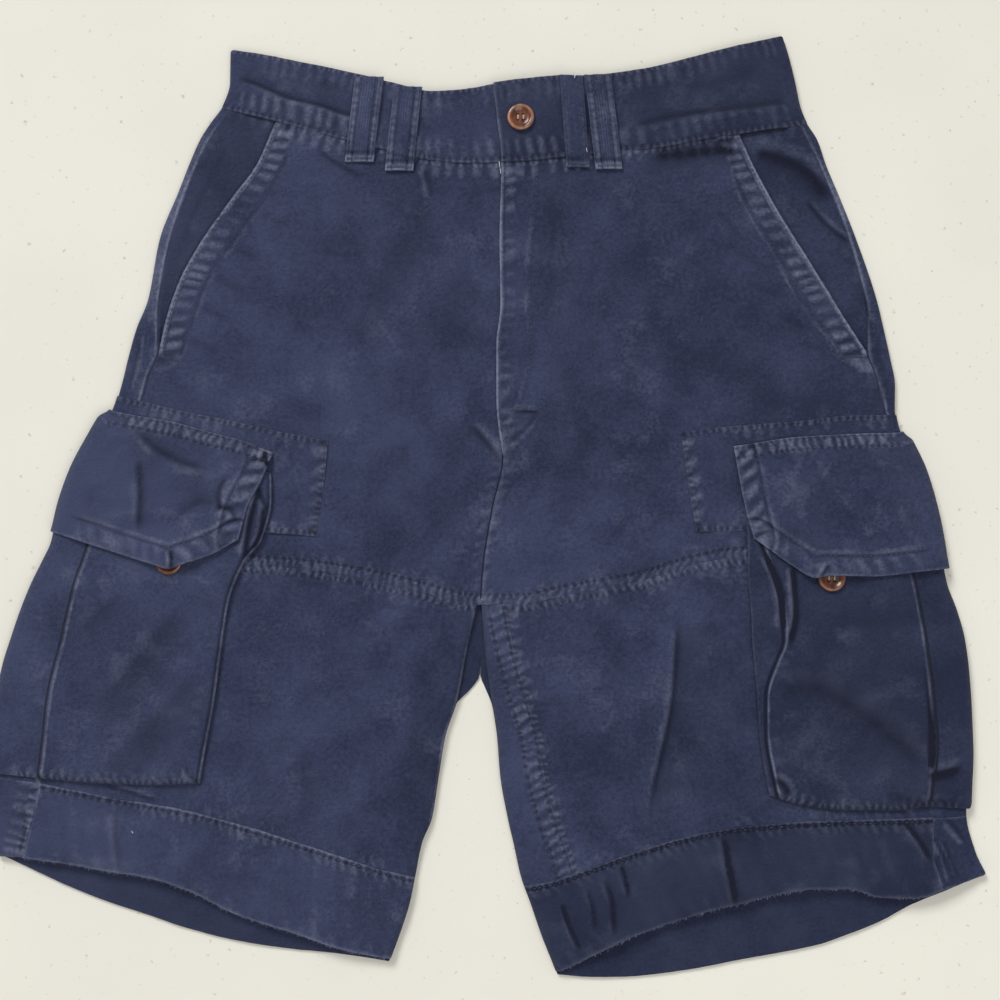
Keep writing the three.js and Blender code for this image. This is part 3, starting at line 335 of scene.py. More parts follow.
# What one piece adds to its smooth surface: height in millimetres, how worn each point is, how dark its painted shade
# is in dips, furrows and folds, and how far it is from the fine ribs of a sewn edge, with the length run along them
class Relief:
    def __init__(self, x, y):
        self.x, self.y = x, y
        self.height, self.wear, self.dark, self.run = (np.zeros(np.shape(x)) for unused in range(4))
        self.seam = np.full(np.shape(x), 9.0)

    # Rounded lobes side by side along a seam, with narrow dips between them, inside a band beside the line. The lobes
    # are worn lighter and the dips get painted shade, both set by the wear value
    def puckers(self, line, band, pitch, height, lean=0.0, seed=1, soft=2.5, wear=0.7):
        off, run = nearest(line, self.x, self.y)
        inBand = ease((off - band[0]) / soft + 0.5) * ease((band[1] - off) / soft + 0.5)
        zero = np.zeros(run.shape)
        pace = run + lean * off + 0.5 * pitch * noise(run, zero, 2.1 * pitch, seed)
        lobe = np.abs(np.sin(np.pi * pace / pitch)) ** 0.8
        strength = 0.66 + 0.34 * noise(run, zero, 2.7 * pitch, seed + 11)
        self.height += height * strength * inBand * (lobe - 0.4)
        self.wear += wear * strength * inBand * lobe ** 3
        # painted shade in the dips between the lobes
        self.dark += 0.9 * wear * strength * inBand * (1 - lobe) ** 1.3

    # Furrow where a row of stitches pulls the cloth down, with painted shade in its dip
    def furrow(self, line, at=0.0, width=0.8, depth=0.3, dark=0.5):
        off, run = nearest(line, self.x, self.y)
        dip = np.exp(-((off - at) / width) ** 2)
        self.height -= depth * dip
        self.dark += dark * dip

    # Fold with one steep side: it climbs over the sharp width to the left of the line and sinks slowly beyond it. Its
    # foot gets painted shade, its shade value paints shade broadly over its low side, or its high side where it is
    # below 0, and its crest is painted lighter, partly wear and partly a painted highlight
    def crease(self, line, height, sharp=2.0, soft=12.0, dark=0.4, fade=14.0, shade=0.0):
        off, run = nearest(line, self.x, self.y, 60)
        length = np.hypot(*np.diff(line, axis=0).T).sum()
        ends = ease(run / fade) * ease((length - run) / fade)
        highSide = ease(0.5 + off / sharp) * np.exp(-np.maximum(off, 0) / soft)
        lowSide = ease(0.5 - off / sharp) * np.exp(np.minimum(off, 0) / soft)
        self.height += height * ends * highSide
        self.dark += ends * (max(shade, 0) * lowSide + max(-shade, 0) * highSide)
        # painted shade at the foot of the fold
        self.dark += dark * ends * np.exp(-((off + 0.5 * sharp) / sharp) ** 2)
        # crest painted lighter: partly wear, partly a painted highlight
        self.wear += 0.45 * dark * ends * np.exp(-((off - 0.9 * sharp) / sharp) ** 2)

    # Folds whose lines are given by pixels of the photo
    def creases(self, rows):
        for row in rows:
            settings = dict(row)
            self.crease(smoothLine(fromPhoto(settings.pop("along"))), **settings)

    # Short soft troughs with painted shade in them, each between two pixels of the photo
    def dents(self, rows, halfWidth, depth, dark):
        for x0, y0, x1, y1 in rows:
            (ax, ay), (bx, by) = fromPhoto([(x0, y0), (x1, y1)])
            trough = foldHeight([(ax, ay, bx, by, halfWidth, 1.0)], self.x, self.y)
            self.height -= depth * trough
            self.dark += dark * trough

    # Raised strip beside a line, as the layers inside a felled seam
    def strip(self, line, band, height, soft=1.2):
        off, run = nearest(line, self.x, self.y)
        self.height += height * ease((off - band[0]) / soft + 0.5) * ease((band[1] - off) / soft + 0.5)

    # Faded cloth close to an edge, uneven along it
    def wornEdge(self, line, width, amount, at=0.0, seed=5):
        off, run = nearest(line, self.x, self.y)
        uneven = 0.75 + 0.35 * noise(run, np.zeros(run.shape), 7, seed)
        self.wear += amount * uneven * np.exp(-((off - at) / width) ** 2)

    # Fine ribs across a sewn edge, which the finish draws with lighter worn tops and painted shade between them
    def ribs(self, line, at=0.0, width=2.5):
        off, run = nearest(line, self.x, self.y)
        near = np.abs(off - at) / width
        closer = near < self.seam
        self.seam = np.where(closer, near, self.seam)
        self.run = np.where(closer, run, self.run)

    # Small uneven heights and wear, and crumples: thin ridges where a random height is near its middle. Low spots get
    # painted shade
    def unevenness(self, seed, crumple=0.3):
        fine = noise(self.x, self.y, 8, seed)
        broad = noise(self.x, self.y, 17, seed + 1)
        lean = self.x + 0.5 * self.y
        coarse = 1 - 2 * np.abs(noise(lean, self.y, 23, seed + 2))
        small = 1 - 2 * np.abs(noise(self.x - 0.4 * self.y, self.y, 10, seed + 3))
        self.height += 0.18 * fine + 0.36 * broad + crumple * (0.9 * coarse + 0.45 * small)
        self.wear += 0.14 * broad + 0.10 * fine + 0.35 * crumple * np.maximum(coarse + 0.4 * small - 0.5, 0)
        # painted shade in the low spots
        self.dark += 0.10 * np.maximum(-broad, 0) + 0.08 * np.maximum(-fine, 0)

    def faded(self, amount):
        self.height *= amount
        self.wear *= amount
        self.dark *= amount

    def marks(self):
        return {"wear": self.wear, "dark": self.dark, "seam": self.seam, "run": self.run}


# Where a rail x(y) meets an edge y(x)
def corner(rail, edge):
    y = float(edge(rail(0.0)))
    for unused in range(60):
        y += 0.6 * (float(edge(rail(y))) - y)
    return float(rail(y)), y


# Plan points between two rails and two edges: each row runs from rail to rail, each column from edge to edge
def span(rails, edges, u, v):
    (startTop, startBottom), (endTop, endBottom) = [[corner(rail, edge) for edge in edges] for rail in rails]
    u, v = u[None, :], v[:, None]
    startY, endY = mix(startTop[1], startBottom[1], v), mix(endTop[1], endBottom[1], v)
    topX, bottomX = mix(startTop[0], endTop[0], u), mix(startBottom[0], endBottom[0], u)
    cornersY = mix(mix(startTop[1], endTop[1], u), mix(startBottom[1], endBottom[1], u), v)
    x = mix(rails[0](startY), rails[1](endY), u)
    y = mix(edges[0](topX), edges[1](bottomX), v) + mix(startY, endY, u) - cornersY
    return x, y


edgeSteps = np.array([0, 0.16, 0.38, 0.7, 1.15])


# Shares of a length with a point each step, and closer ones where an edge rounds at either end
def spread(length, step, fineStart=True, fineEnd=True):
    start = edgeSteps if fineStart else np.zeros(1)
    end = length - (edgeSteps if fineEnd else np.zeros(1))[::-1]
    count = max(2, int(round((end[0] - start[-1]) / step)))
    between = np.linspace(start[-1], end[0], count + 1)[1:-1]
    return np.concatenate([start, between, end]) / length


def spanAll(rails, edges, shares, v):
    grids = [span(pair, edges, u if i == 0 else u[1:], v) for i, (pair, u) in
             enumerate(zip(zip(rails[:-1], rails[1:]), shares))]
    return [np.concatenate([grid[axis] for grid in grids], axis=1) for axis in (0, 1)]


def shift(curve, by):
    return lambda at: curve(at) + by


def railOf(side, radius):
    return shift(legOuter[side], -outward[side] * radius)


# Points that carry a layer down round the side fold, at each angle above its middle
def roundSide(side, x, y, radius, layer, angles):
    slope = (legOuter[side](y + 4) - legOuter[side](y - 4)) / 8
    size = np.hypot(1, slope)
    reach = radius + layer
    out = outward[side] * reach * np.cos(angles)
    return x + out / size, y - out * slope / size, radius + reach * np.sin(angles) + 0 * x


madePieces = []


def makeMesh(name, vertices, faces, attributes, material):
    mesh = bpy.data.meshes.new(name)
    metres = (np.asarray(vertices) + tableShift) / 1000
    mesh.from_pydata(metres.tolist(), [], faces.tolist())
    for label, values in attributes.items():
        mesh.attributes.new(label, "FLOAT", "POINT").data.foreach_set("value", np.ravel(values).astype(np.float32))
    mesh.materials.append(material)
    mesh.polygons.foreach_set("use_smooth", np.ones(len(mesh.polygons), bool))
    mesh.update()
    piece = bpy.data.objects.new(name, mesh)
    bpy.context.collection.objects.link(piece)
    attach(piece, "root")
    madePieces.append(piece)
    return piece


# Closed wall of cloth: the outer points as given and the inner ones a thickness behind them along the normal.
# Near every edge the two faces close in on each other, so that the edge is round
def makeCloth(name, grid, marks, thickness, material, slotName, restsOn, edgeWear=0.0):
    points = np.stack(grid, axis=2)
    across, down = np.gradient(points, axis=1), np.gradient(points, axis=0)
    normal = np.cross(across, down)
    normal /= np.linalg.norm(normal, axis=2, keepdims=True)
    rows, columns = points.shape[:2]
    flip = normal[rows // 2, 0 if grid[2][rows // 2, 0] > grid[2][rows // 2, -1] else -1, 2] < 0
    if flip:
        normal = -normal
    rowSteps = np.linalg.norm(np.diff(points, axis=1), axis=2)
    columnSteps = np.linalg.norm(np.diff(points, axis=0), axis=2)
    fromStart = np.pad(np.cumsum(rowSteps, axis=1), ((0, 0), (1, 0)))
    fromTop = np.pad(np.cumsum(columnSteps, axis=0), ((1, 0), (0, 0)))
    toEdge = np.minimum.reduce([fromStart, fromStart[:, -1:] - fromStart, fromTop, fromTop[-1:] - fromTop])
    close = 0.47 * thickness * (1 - quarterRound(toEdge / (0.5 * thickness)))[..., None]
    outer, inner = points - normal * close, points - normal * (thickness - close)
    first = np.arange(rows * columns).reshape(rows, columns)
    behind = first + rows * columns

    def strips(a, b):
        return np.column_stack([a[:-1].ravel(), a[1:].ravel(), b[1:].ravel(), b[:-1].ravel()])
    face = np.column_stack([
        first[:-1, :-1].ravel(), first[:-1, 1:].ravel(), first[1:, 1:].ravel(), first[1:, :-1].ravel()])
    back = face[:, ::-1] + rows * columns
    rims = [strips(first[0][::-1], behind[0][::-1]), strips(first[-1], behind[-1]),
            strips(first[:, 0], behind[:, 0]), strips(first[::-1, -1], behind[::-1, -1])]
    faces = np.concatenate([face, back, *rims])
    if flip:
        faces = faces[:, ::-1]
    worn = marks["wear"] + edgeWear * np.exp(-(toEdge / 1.1) ** 2)
    # the inner face gets painted shade
    plain = {"wear": 0.0, "dark": 0.45, "seam": 9.0, "run": 0.0}
    attributes = {label: np.concatenate([values.ravel(), np.full(values.size, plain[label])])
                  for label, values in {**marks, "wear": worn}.items()}
    vertices = np.concatenate([outer.reshape(-1, 3), inner.reshape(-1, 3)])
    piece = makeMesh(f"{name}_cloth", vertices, faces, attributes, material)
    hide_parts(name)
    return piece


# Wraps a socket, so that shader maths reads as plain expressions
class Value:
    def __init__(self, finish, socket):
        self.finish, self.socket = finish, socket

    def maths(self, operation, *values):
        return self.finish.node("ShaderNodeMath", {"operation": operation}, dict(enumerate(values)))

    def __add__(self, other):
        return self.maths("ADD", self, other)

    def __sub__(self, other):
        return self.maths("SUBTRACT", self, other)

    def __rsub__(self, other):
        return self.maths("SUBTRACT", other, self)

    def __mul__(self, other):
        return self.maths("MULTIPLY", self, other)

    __radd__ = __add__
    __rmul__ = __mul__

    def sine(self):
        return self.maths("SINE", self)

    def within(self, low, high):
        settings = {"clamp": True}
        return self.finish.node("ShaderNodeMapRange", settings, {0: self, 1: low, 2: high, 3: 0.0, 4: 1.0})


# One material. node() adds any node: its kind, its settings, then the values or links of its sockets
class Finish:
    def __init__(self, name, constants):
        self.material = bpy.data.materials.new(name)
        self.material.use_nodes = True
        self.tree = self.material.node_tree
        self.shader = self.tree.nodes["Principled BSDF"]
        for socket, value in constants.items():
            self.feed(self.shader.inputs[socket], value)
        self.place = self.node("ShaderNodeTexCoord", {}, {}, "Object")

    def feed(self, socket, value):
        if isinstance(value, Value):
            self.tree.links.new(value.socket, socket)
        else:
            socket.default_value = value

    def node(self, kind, settings, inputs, output=0):
        node = self.tree.nodes.new(kind)
        for name, value in settings.items():
            setattr(node, name, value)
        for name, value in inputs.items():
            self.feed(node.inputs[name], value)
        return Value(self, node.outputs[output])

    def grain(self, scale, detail=2.0, roughness=0.55):
        inputs = {"Vector": self.place, "Scale": scale, "Detail": detail, "Roughness": roughness}
        return self.node("ShaderNodeTexNoise", {}, inputs, "Fac")

    def attribute(self, name):
        return self.node("ShaderNodeAttribute", {"attribute_name": name}, {}, "Fac")

    def blend(self, share, a, b):
        return self.node("ShaderNodeMix", {"data_type": "RGBA"}, {0: share, 6: a, 7: b}, 2)

    def output(self, socket, value):
        self.feed(self.shader.inputs[socket], value)

    def bump(self, height, distance, strength=1.0):
        inputs = {"Height": height, "Distance": distance, "Strength": strength}
        self.output("Normal", self.node("ShaderNodeBump", {}, inputs))


# deep is the colour of painted shade; worn is the colour of faded wear, which also carries painted highlights on fold
# crests
twillLook = {
    "deep": (0.008, 0.010, 0.027, 1), "plain": (0.021, 0.0278, 0.067, 1), "faded": (0.054, 0.067, 0.136, 1),
    "worn": (0.20, 0.218, 0.325, 1), "roughness": 0.92, "sheen": 0.06, "twillPitch": 0.0011, "ribPitch": 4.4,
    "darkerToRight": 1.0}


# Washed navy twill: cloudy fading, worn where the wear attribute is high, darkened by painted shade where the dark
# attribute is high, ribbed along sewn edges with painted shade between the ribs, with a fine diagonal weave
def twillFinish(name, look, lift=0.0):
    finish = Finish(name, {"Sheen Weight": look["sheen"], "Sheen Roughness": 0.5, "Specular IOR Level": 0.18})
    clouds = finish.grain(11, 3).within(0.36, 0.66)
    patches = finish.grain(46, 3).within(0.35, 0.7)
    flecks = finish.grain(420, 2).within(0.3, 0.72)
    threads = finish.grain(1500, 1).within(0.3, 0.7)
    wear, dark = finish.attribute("wear"), finish.attribute("dark")
    across = finish.node("ShaderNodeSeparateXYZ", {}, {0: finish.place}, "X")
    beside = 1 - finish.attribute("seam").within(0.45, 1.0)
    rib = 0.5 + 0.5 * (finish.attribute("run") * (2 * math.pi / look["ribPitch"]) + 7 * patches).sine()
    fade = 0.12 + lift + 0.50 * clouds + 0.42 * patches + 0.50 * (flecks - 0.5) + 0.40 * (threads - 0.5)
    base = finish.blend((fade - look["darkerToRight"] * across).within(0, 1), look["plain"], look["faded"])
    # wear, with the painted highlights on fold crests, and the lighter rib tops
    rubbed = (wear + 0.34 * beside * rib) * (0.6 + 0.8 * flecks)
    base = finish.blend(rubbed.within(0.10, 1.35), base, look["worn"])
    # painted shade: the dark attribute and the dips between seam ribs
    shaded = (dark + 0.36 * beside * (1 - rib)) * (0.8 + 0.4 * flecks)
    base = finish.blend(shaded.within(0.0, 1.35), base, look["deep"])
    finish.output("Base Color", base)
    finish.output("Roughness", look["roughness"] - 0.06 * flecks)
    settings = {"wave_type": "BANDS", "bands_direction": "DIAGONAL"}
    inputs = {"Vector": finish.place, "Scale": 0.628 / look["twillPitch"], "Distortion": 1.2, "Detail": 1.0}
    weave = finish.node("ShaderNodeTexWave", settings, inputs, "Fac")
    finish.bump(0.5 * weave + 1.2 * threads + 1.1 * flecks + 1.3 * beside * rib, 0.00036, 0.9)
    return finish.material


navyTwill = twillFinish("navyTwill", twillLook)
wornTwill = twillFinish("wornTwill", twillLook, 0.16)

stitchRows = []  # line, distance to its left, surface that carries it, and length kept free at both ends


def sew(line, at, surface, free=1.5):
    stitchRows.append((line, at, surface, free))


underLook = {
    "seamLobes": {"pitch": 8.6, "height": 0.5, "soft": 5, "wear": 0.5}, "rest": 0.3, "dent": 0.7, "most": 0.8,
    "shade": 0.9}


# Flat cloth under a leg: shallow dents along its seams, above the table that it lies on, with painted shade in its
# dips and deeper inside the leg
def underSurface(side, x, y, edges, innerRail, radius):
    relief = Relief(x, y)
    sign = outward[side]
    ends = sorted((float(x[0, 0]), float(x[0, -1])))
    above, below = [lineAcross(edge, *ends) for edge in edges]
    inner = lineDown(innerRail, float(y.max()), float(y.min()))
    for line, band in ((above, (-8, -1)), (below, (1, 8)), (inner, tuple(sorted((sign, 7 * sign))))):
        relief.puckers(line, band, seed=37, **underLook["seamLobes"])
        relief.ribs(line, 0.5 * sum(band) / 4, 2.5)
    relief.unevenness(38)
    relief.faded(ease((insideOf(side, x, y) - radius) / 10))
    # painted shade, darker deeper inside the leg
    relief.dark += underLook["shade"] * ease((y + 150) / 40)
    raised = np.clip(underLook["rest"] + underLook["dent"] * relief.height, 0, underLook["most"])
    return raised * ease((insideOf(side, x, y) - radius) / 12), relief.marks()


# A piece that starts on the front at its seam, goes round the side fold and lies flat under the leg
def makeWrapped(name, side, rails, topEdges, underEdges, radius, rows, topStep, surface, **finish):
    rail = railOf(side, radius)
    seamRail, innerRail = rails
    level = float(np.mean([corner(rail, edge)[1] for edge in underEdges]))
    topWidth = abs(float(seamRail(level) - rail(level)))
    underWidth = abs(float(innerRail(level) - rail(level)))
    upperX, upperY = span((seamRail, rail), topEdges, spread(topWidth, topStep, True, False), rows)
    underX, underY = span((rail, innerRail), underEdges, spread(underWidth, 3.6, False, True), rows)
    upperZ, marks = surface(upperX, upperY)
    underZ, underMarks = underSurface(side, underX, underY, underEdges, innerRail, radius)
    angles = np.linspace(np.pi / 2, -np.pi / 2, 13)[None, :]
    turn = roundSide(side, underX[:, :1], underY[:, :1], radius, 0.0, angles)
    grid = [np.concatenate([top[:, :-1], middlePart, under[:, 1:]], axis=1) for top, middlePart, under in
            zip((upperX, upperY, upperZ), turn, (underX, underY, underZ))]
    marks = {label: np.concatenate([values[:, :-1], np.repeat(values[:, -1:], angles.size, axis=1),
                                    underMarks[label][:, 1:]], axis=1) for label, values in marks.items()}
    return makeCloth(name, grid, marks, **finish)


waistSeamLine = {side: lineAcross(waistSeam, *ends) for side, ends in
                 {"left": (-168, 32), "right": (9, 200)}.items()}
waistTopLine = {side: lineAcross(waistTop, *ends) for side, ends in
                {"left": (-168, 32), "right": (3, 194)}.items()}
slashLine = {side: lineDown(slash[side], 234, 88) for side in sides}
slashStitch = {
    "left": smoothLine(fromPhoto([(286, 158), (268, 192), (247, 221), (234, 240), (218, 260), (209, 278),
                                  (201, 294), (193, 317), (186, 337), (180.5, 355)])),
    "right": smoothLine(fromPhoto([(731, 150), (736, 178), (749, 209), (763, 232), (777, 254), (794, 288),
                                   (813, 316), (838, 346), (846, 358)]))}
flyLine = lineDown(middle, 208, 24)
seatLine = lineDown(middle, 24, -64)
jStitch = smoothLine(fromPhoto([(537, 166), (536, 195), (530, 262), (529, 306), (532, 340), (529, 372), (522, 396),
                                (513, 420), (504, 441)]))
kneeLine = {"left": lineAcross(knee, -250, -5), "right": lineAcross(knee, -3, 262)}
hemLine = {"left": lineAcross(hemSeam["left"], -282, -42), "right": lineAcross(hemSeam["right"], 22, 272)}
hemEdgeLine = {"left": lineAcross(hemFront["left"], -282, -58), "right": lineAcross(hemFront["right"], 41, 272)}

waistband = {
    "seamLobes": {"band": (3.0, 14), "pitch": 8.6, "height": 1.1, "lean": 0.12, "seed": 21, "soft": 5, "wear": 0.7},
    "topLobes": {"band": (-13, -1), "pitch": 7.4, "height": 0.6, "seed": 23, "soft": 7, "wear": 0.4},
    "stitchAt": 2.2, "shade": {"left": 0.05, "right": 0.38},
    "folds": {
        "left": [{"along": [(374, 123), (349, 117), (319, 107), (292, 101), (272, 93), (257, 86), (236, 79)],
                  "height": 1.7, "sharp": 1.8, "soft": 11, "dark": 0.7, "fade": 6, "shade": 0.4},
                 {"along": [(352, 96), (320, 88), (290, 76)], "height": 0.8, "sharp": 5, "soft": 9, "dark": 0.3}],
        "right": [{"along": [(790, 103), (735, 111), (698, 115), (659, 122), (634, 129)],
                   "height": 1.4, "sharp": 2.4, "soft": 11, "dark": 0.5, "fade": 8, "shade": 0.25},
                  {"along": [(770, 74), (724, 86), (676, 98)], "height": 0.9, "sharp": 6, "soft": 10,
                   "dark": 0.3}]}}


def makeWaistband(side):
    sign = outward[side]
    flyEnd = shift(middle, 25) if side == "left" else middle
    edges = (waistTop, shift(waistSeam, halfGap))
    rail = railOf(side, cloth["bandRadius"])
    inner = lambda y: -4.1 + sign * halfGap + 0 * y
    under = (waistTop, straightUnder(rail, backInner[side], waistSeam, halfGap))
    seamLine, topLine = waistSeamLine[side], waistTopLine[side]

    def surface(x, y):
        relief = Relief(x, y)
        relief.puckers(seamLine, **waistband["seamLobes"])
        relief.puckers(topLine, **waistband["topLobes"])
        relief.furrow(seamLine, waistband["stitchAt"], 0.7, 0.35, 0.45)
        relief.ribs(seamLine, waistband["stitchAt"] - 1, 2.4)
        relief.ribs(topLine, -1.5, 2.2)
        relief.creases(waistband["folds"][side])
        relief.unevenness(25, 0.6)
        relief.faded(ease((insideOf(side, x, y) - cloth["bandRadius"]) / 9))
        relief.dark += waistband["shade"][side]
        if side == "right":
            relief.wornEdge(lineDown(middle, 262, 209), 1.3, 1.2)
        return bandTop(side, x, y) + relief.height, relief.marks()

    makeWrapped(f"waistband_{side}", side, (flyEnd, inner), edges, under, cloth["bandRadius"], spread(47, 1.4), 1.4,
                surface, thickness=cloth["doubled"], material=navyTwill, slotName="navy_twill", restsOn="floor",
                edgeWear=0.35)
    sew(seamLine, waistband["stitchAt"], surface, 4)


# Straight edge under the leg between the ends that a curved one has on two rails
def straightUnder(rail, innerRail, edge, by):
    start, end = corner(rail, edge), corner(innerRail, edge)
    return lambda x: mix(start[1], end[1], (x - start[0]) / (end[0] - start[0])) + by


back = {
    "seamLobes": {"pitch": 8, "height": 0.3, "seed": 31, "wear": 0.15},
    "stripWear": {"left": 0.6, "right": 0.25},
    "folds": {
        "left": [{"along": [(141, 330), (139, 350), (133, 376), (129, 392)], "height": 0.8, "sharp": 1.4, "soft": 4,
                  "dark": 0.9, "fade": 6}],
        "right": [{"along": [(866, 290), (874, 330), (884, 372), (892, 400)], "height": 0.6, "sharp": 1.4, "soft": 4,
                   "dark": 0.5, "fade": 8}]}}


def makeBack(side):
    sign = outward[side]
    seamRail = shift(sideSeam[side], sign * halfGap)
    innerRail = shift(backInner[side], -sign * 0.4)
    rail = railOf(side, cloth["sideRadius"])
    edges = (shift(waistSeam, -halfGap), shift(hemSeam[side], halfGap))
    under = (straightUnder(rail, innerRail, waistSeam, -halfGap),
             straightUnder(rail, innerRail, hemSeam[side], halfGap))
    seamLine = lineDown(sideSeam[side], 232, -175)
    stripLine = lineDown(lambda y: 0.5 * (sideSeam[side](y) + legOuter[side](y)), 225, 110)

    def surface(x, y):
        relief = Relief(x, y)
        relief.puckers(seamLine, (0.5, 6) if side == "right" else (-6, -0.5), **back["seamLobes"])
        relief.furrow(seamLine, 0.6 * sign, 0.8, 0.3, 0.9)
        relief.creases(back["folds"][side])
        relief.unevenness(33)
        relief.faded(ease((insideOf(side, x, y) - cloth["sideRadius"]) / 5))
        relief.wornEdge(seamLine, 0.9, 1.1, at=1.6 * sign)
        relief.wornEdge(stripLine, 4.5, back["stripWear"][side])
        return legTop(side, x, y) + relief.height, relief.marks()

    makeWrapped(f"back_{side}", side, (seamRail, innerRail), edges, under, cloth["sideRadius"],
                spread(400, 2.6), 1.5, surface, thickness=cloth["twill"], material=navyTwill,
                slotName="navy_twill", restsOn="floor")


backHem = {
    "folds": {
        "left": [{"along": [(24, 800), (27, 830), (20, 856)], "height": 0.7, "sharp": 1.5, "soft": 4, "dark": 0.7,
                  "fade": 5}],
        "right": [{"along": [(942, 886), (930, 852), (916, 818)], "height": 0.8, "sharp": 1.2, "soft": 3, "dark": 0.9,
                   "fade": 3},
                  {"along": [(950, 882), (939, 850), (930, 836)], "height": 0.7, "sharp": 1.2, "soft": 3, "dark": 0.9,
                   "fade": 3},
                  {"along": [(956, 878), (948, 856), (940, 838)], "height": 0.7, "sharp": 1.2, "soft": 3, "dark": 0.8,
                   "fade": 3},
                  {"along": [(968, 846), (956, 832), (944, 819)], "height": 1.0, "sharp": 2, "soft": 5, "dark": 1.1,
                   "fade": 4}]}}


def makeBackHem(side):
    sign = outward[side]
    seamRail = shift(sideSeam[side], sign * halfGap)
    innerRail = shift(backInner[side], -sign * 0.4)
    rail = railOf(side, cloth["sideRadius"])
    atRail, atSeam = corner(rail, hemBack[side]), corner(seamRail, hemFront[side])
    sideEdge = lambda x: mix(atRail[1], atSeam[1], (x - atRail[0]) / (atSeam[0] - atRail[0]))
    top = shift(hemSeam[side], -halfGap)
    underTop = straightUnder(rail, innerRail, hemSeam[side], -halfGap)
    seamLine = lineDown(sideSeam[side], -176, -236)

    def surface(x, y):
        relief = Relief(x, y)
        if side == "left":
            relief.puckers(seamLine, (-14, -0.5), pitch=7, height=0.6, seed=39, soft=4, wear=0.5)
            relief.ribs(seamLine, -2, 4)
        relief.creases(backHem["folds"][side])
        relief.unevenness(36)
        relief.faded(ease((insideOf(side, x, y) - cloth["sideRadius"]) / 5))
        return legTop(side, x, y) + relief.height, relief.marks()

    makeWrapped(f"hem_back_{side}", side, (seamRail, innerRail), (top, sideEdge), (underTop, hemBack[side]),
                cloth["sideRadius"], spread(56, 1.6), 1.5, surface, thickness=cloth["doubled"],
                material=navyTwill, slotName="navy_twill", restsOn="floor", edgeWear=0.5)


# A piece laid over others: plan points from rails and edges, and its surface's height
def makeLaid(name, rails, edges, shares, rows, surface, **finish):
    x, y = spanAll(rails, edges, shares, rows)
    z, marks = surface(x, y)
    return makeCloth(name, [x, y, z], marks, **finish)


facing = {
    "seamLobes": {"pitch": 9, "height": 0.3, "seed": 41, "wear": 0.1}, "shade": {"left": 0.34, "right": 0.22},
    "lowerEnd": 90.0,
    "folds": {
        "left": [{"along": [(232, 142), (214, 176), (196, 212), (182, 250)], "height": 0.8, "sharp": 2.5, "soft": 8,
                  "dark": 0.3}],
        "right": [{"along": [(806, 198), (826, 222), (850, 242)], "height": 1.2, "sharp": 1.6, "soft": 7,
                   "dark": 0.9, "fade": 6},
                  {"along": [(752, 148), (784, 156), (812, 172), (832, 200)], "height": 1.2, "sharp": 5, "soft": 9,
                   "dark": 0.5, "fade": 8, "shade": 0.9}]}}


def makeFacing(side):
    sign = outward[side]
    seamRail = shift(sideSeam[side], -sign * halfGap)
    tucked = shift(slash[side], -sign * 4)

    def surface(x, y):
        relief = Relief(x, y)
        relief.puckers(lineDown(sideSeam[side], 232, 95), (-6, 0) if side == "right" else (0, 6),
                       **facing["seamLobes"])
        relief.puckers(waistSeamLine[side], (-8, 0), 9, 0.3, seed=42, wear=0.3)
        relief.creases(facing["folds"][side])
        relief.unevenness(43)
        width = np.maximum(1, sign * (sideSeam[side](y) - slash[side](y)))
        drop = (cloth["twill"] + cloth["layerGap"]) * ease(sign * (sideSeam[side](y) - x) / width / 0.7)
        # painted shadow of the slash edge on the facing, over painted shade across the whole facing
        relief.dark += 0.6 * np.exp(-(sign * (x - slash[side](y)) / 2.2) ** 2) + facing["shade"][side]
        return legTop(side, x, y) - drop + relief.height, relief.marks()

    edges = (shift(waistSeam, -halfGap), lambda x: facing["lowerEnd"] + 0 * x)
    makeLaid(f"facing_{side}", (seamRail, tucked), edges, [spread(34, 1.3)], spread(150, 1.5), surface,
             thickness=cloth["twill"], material=navyTwill, slotName="navy_twill", restsOn=f"back_{side}")


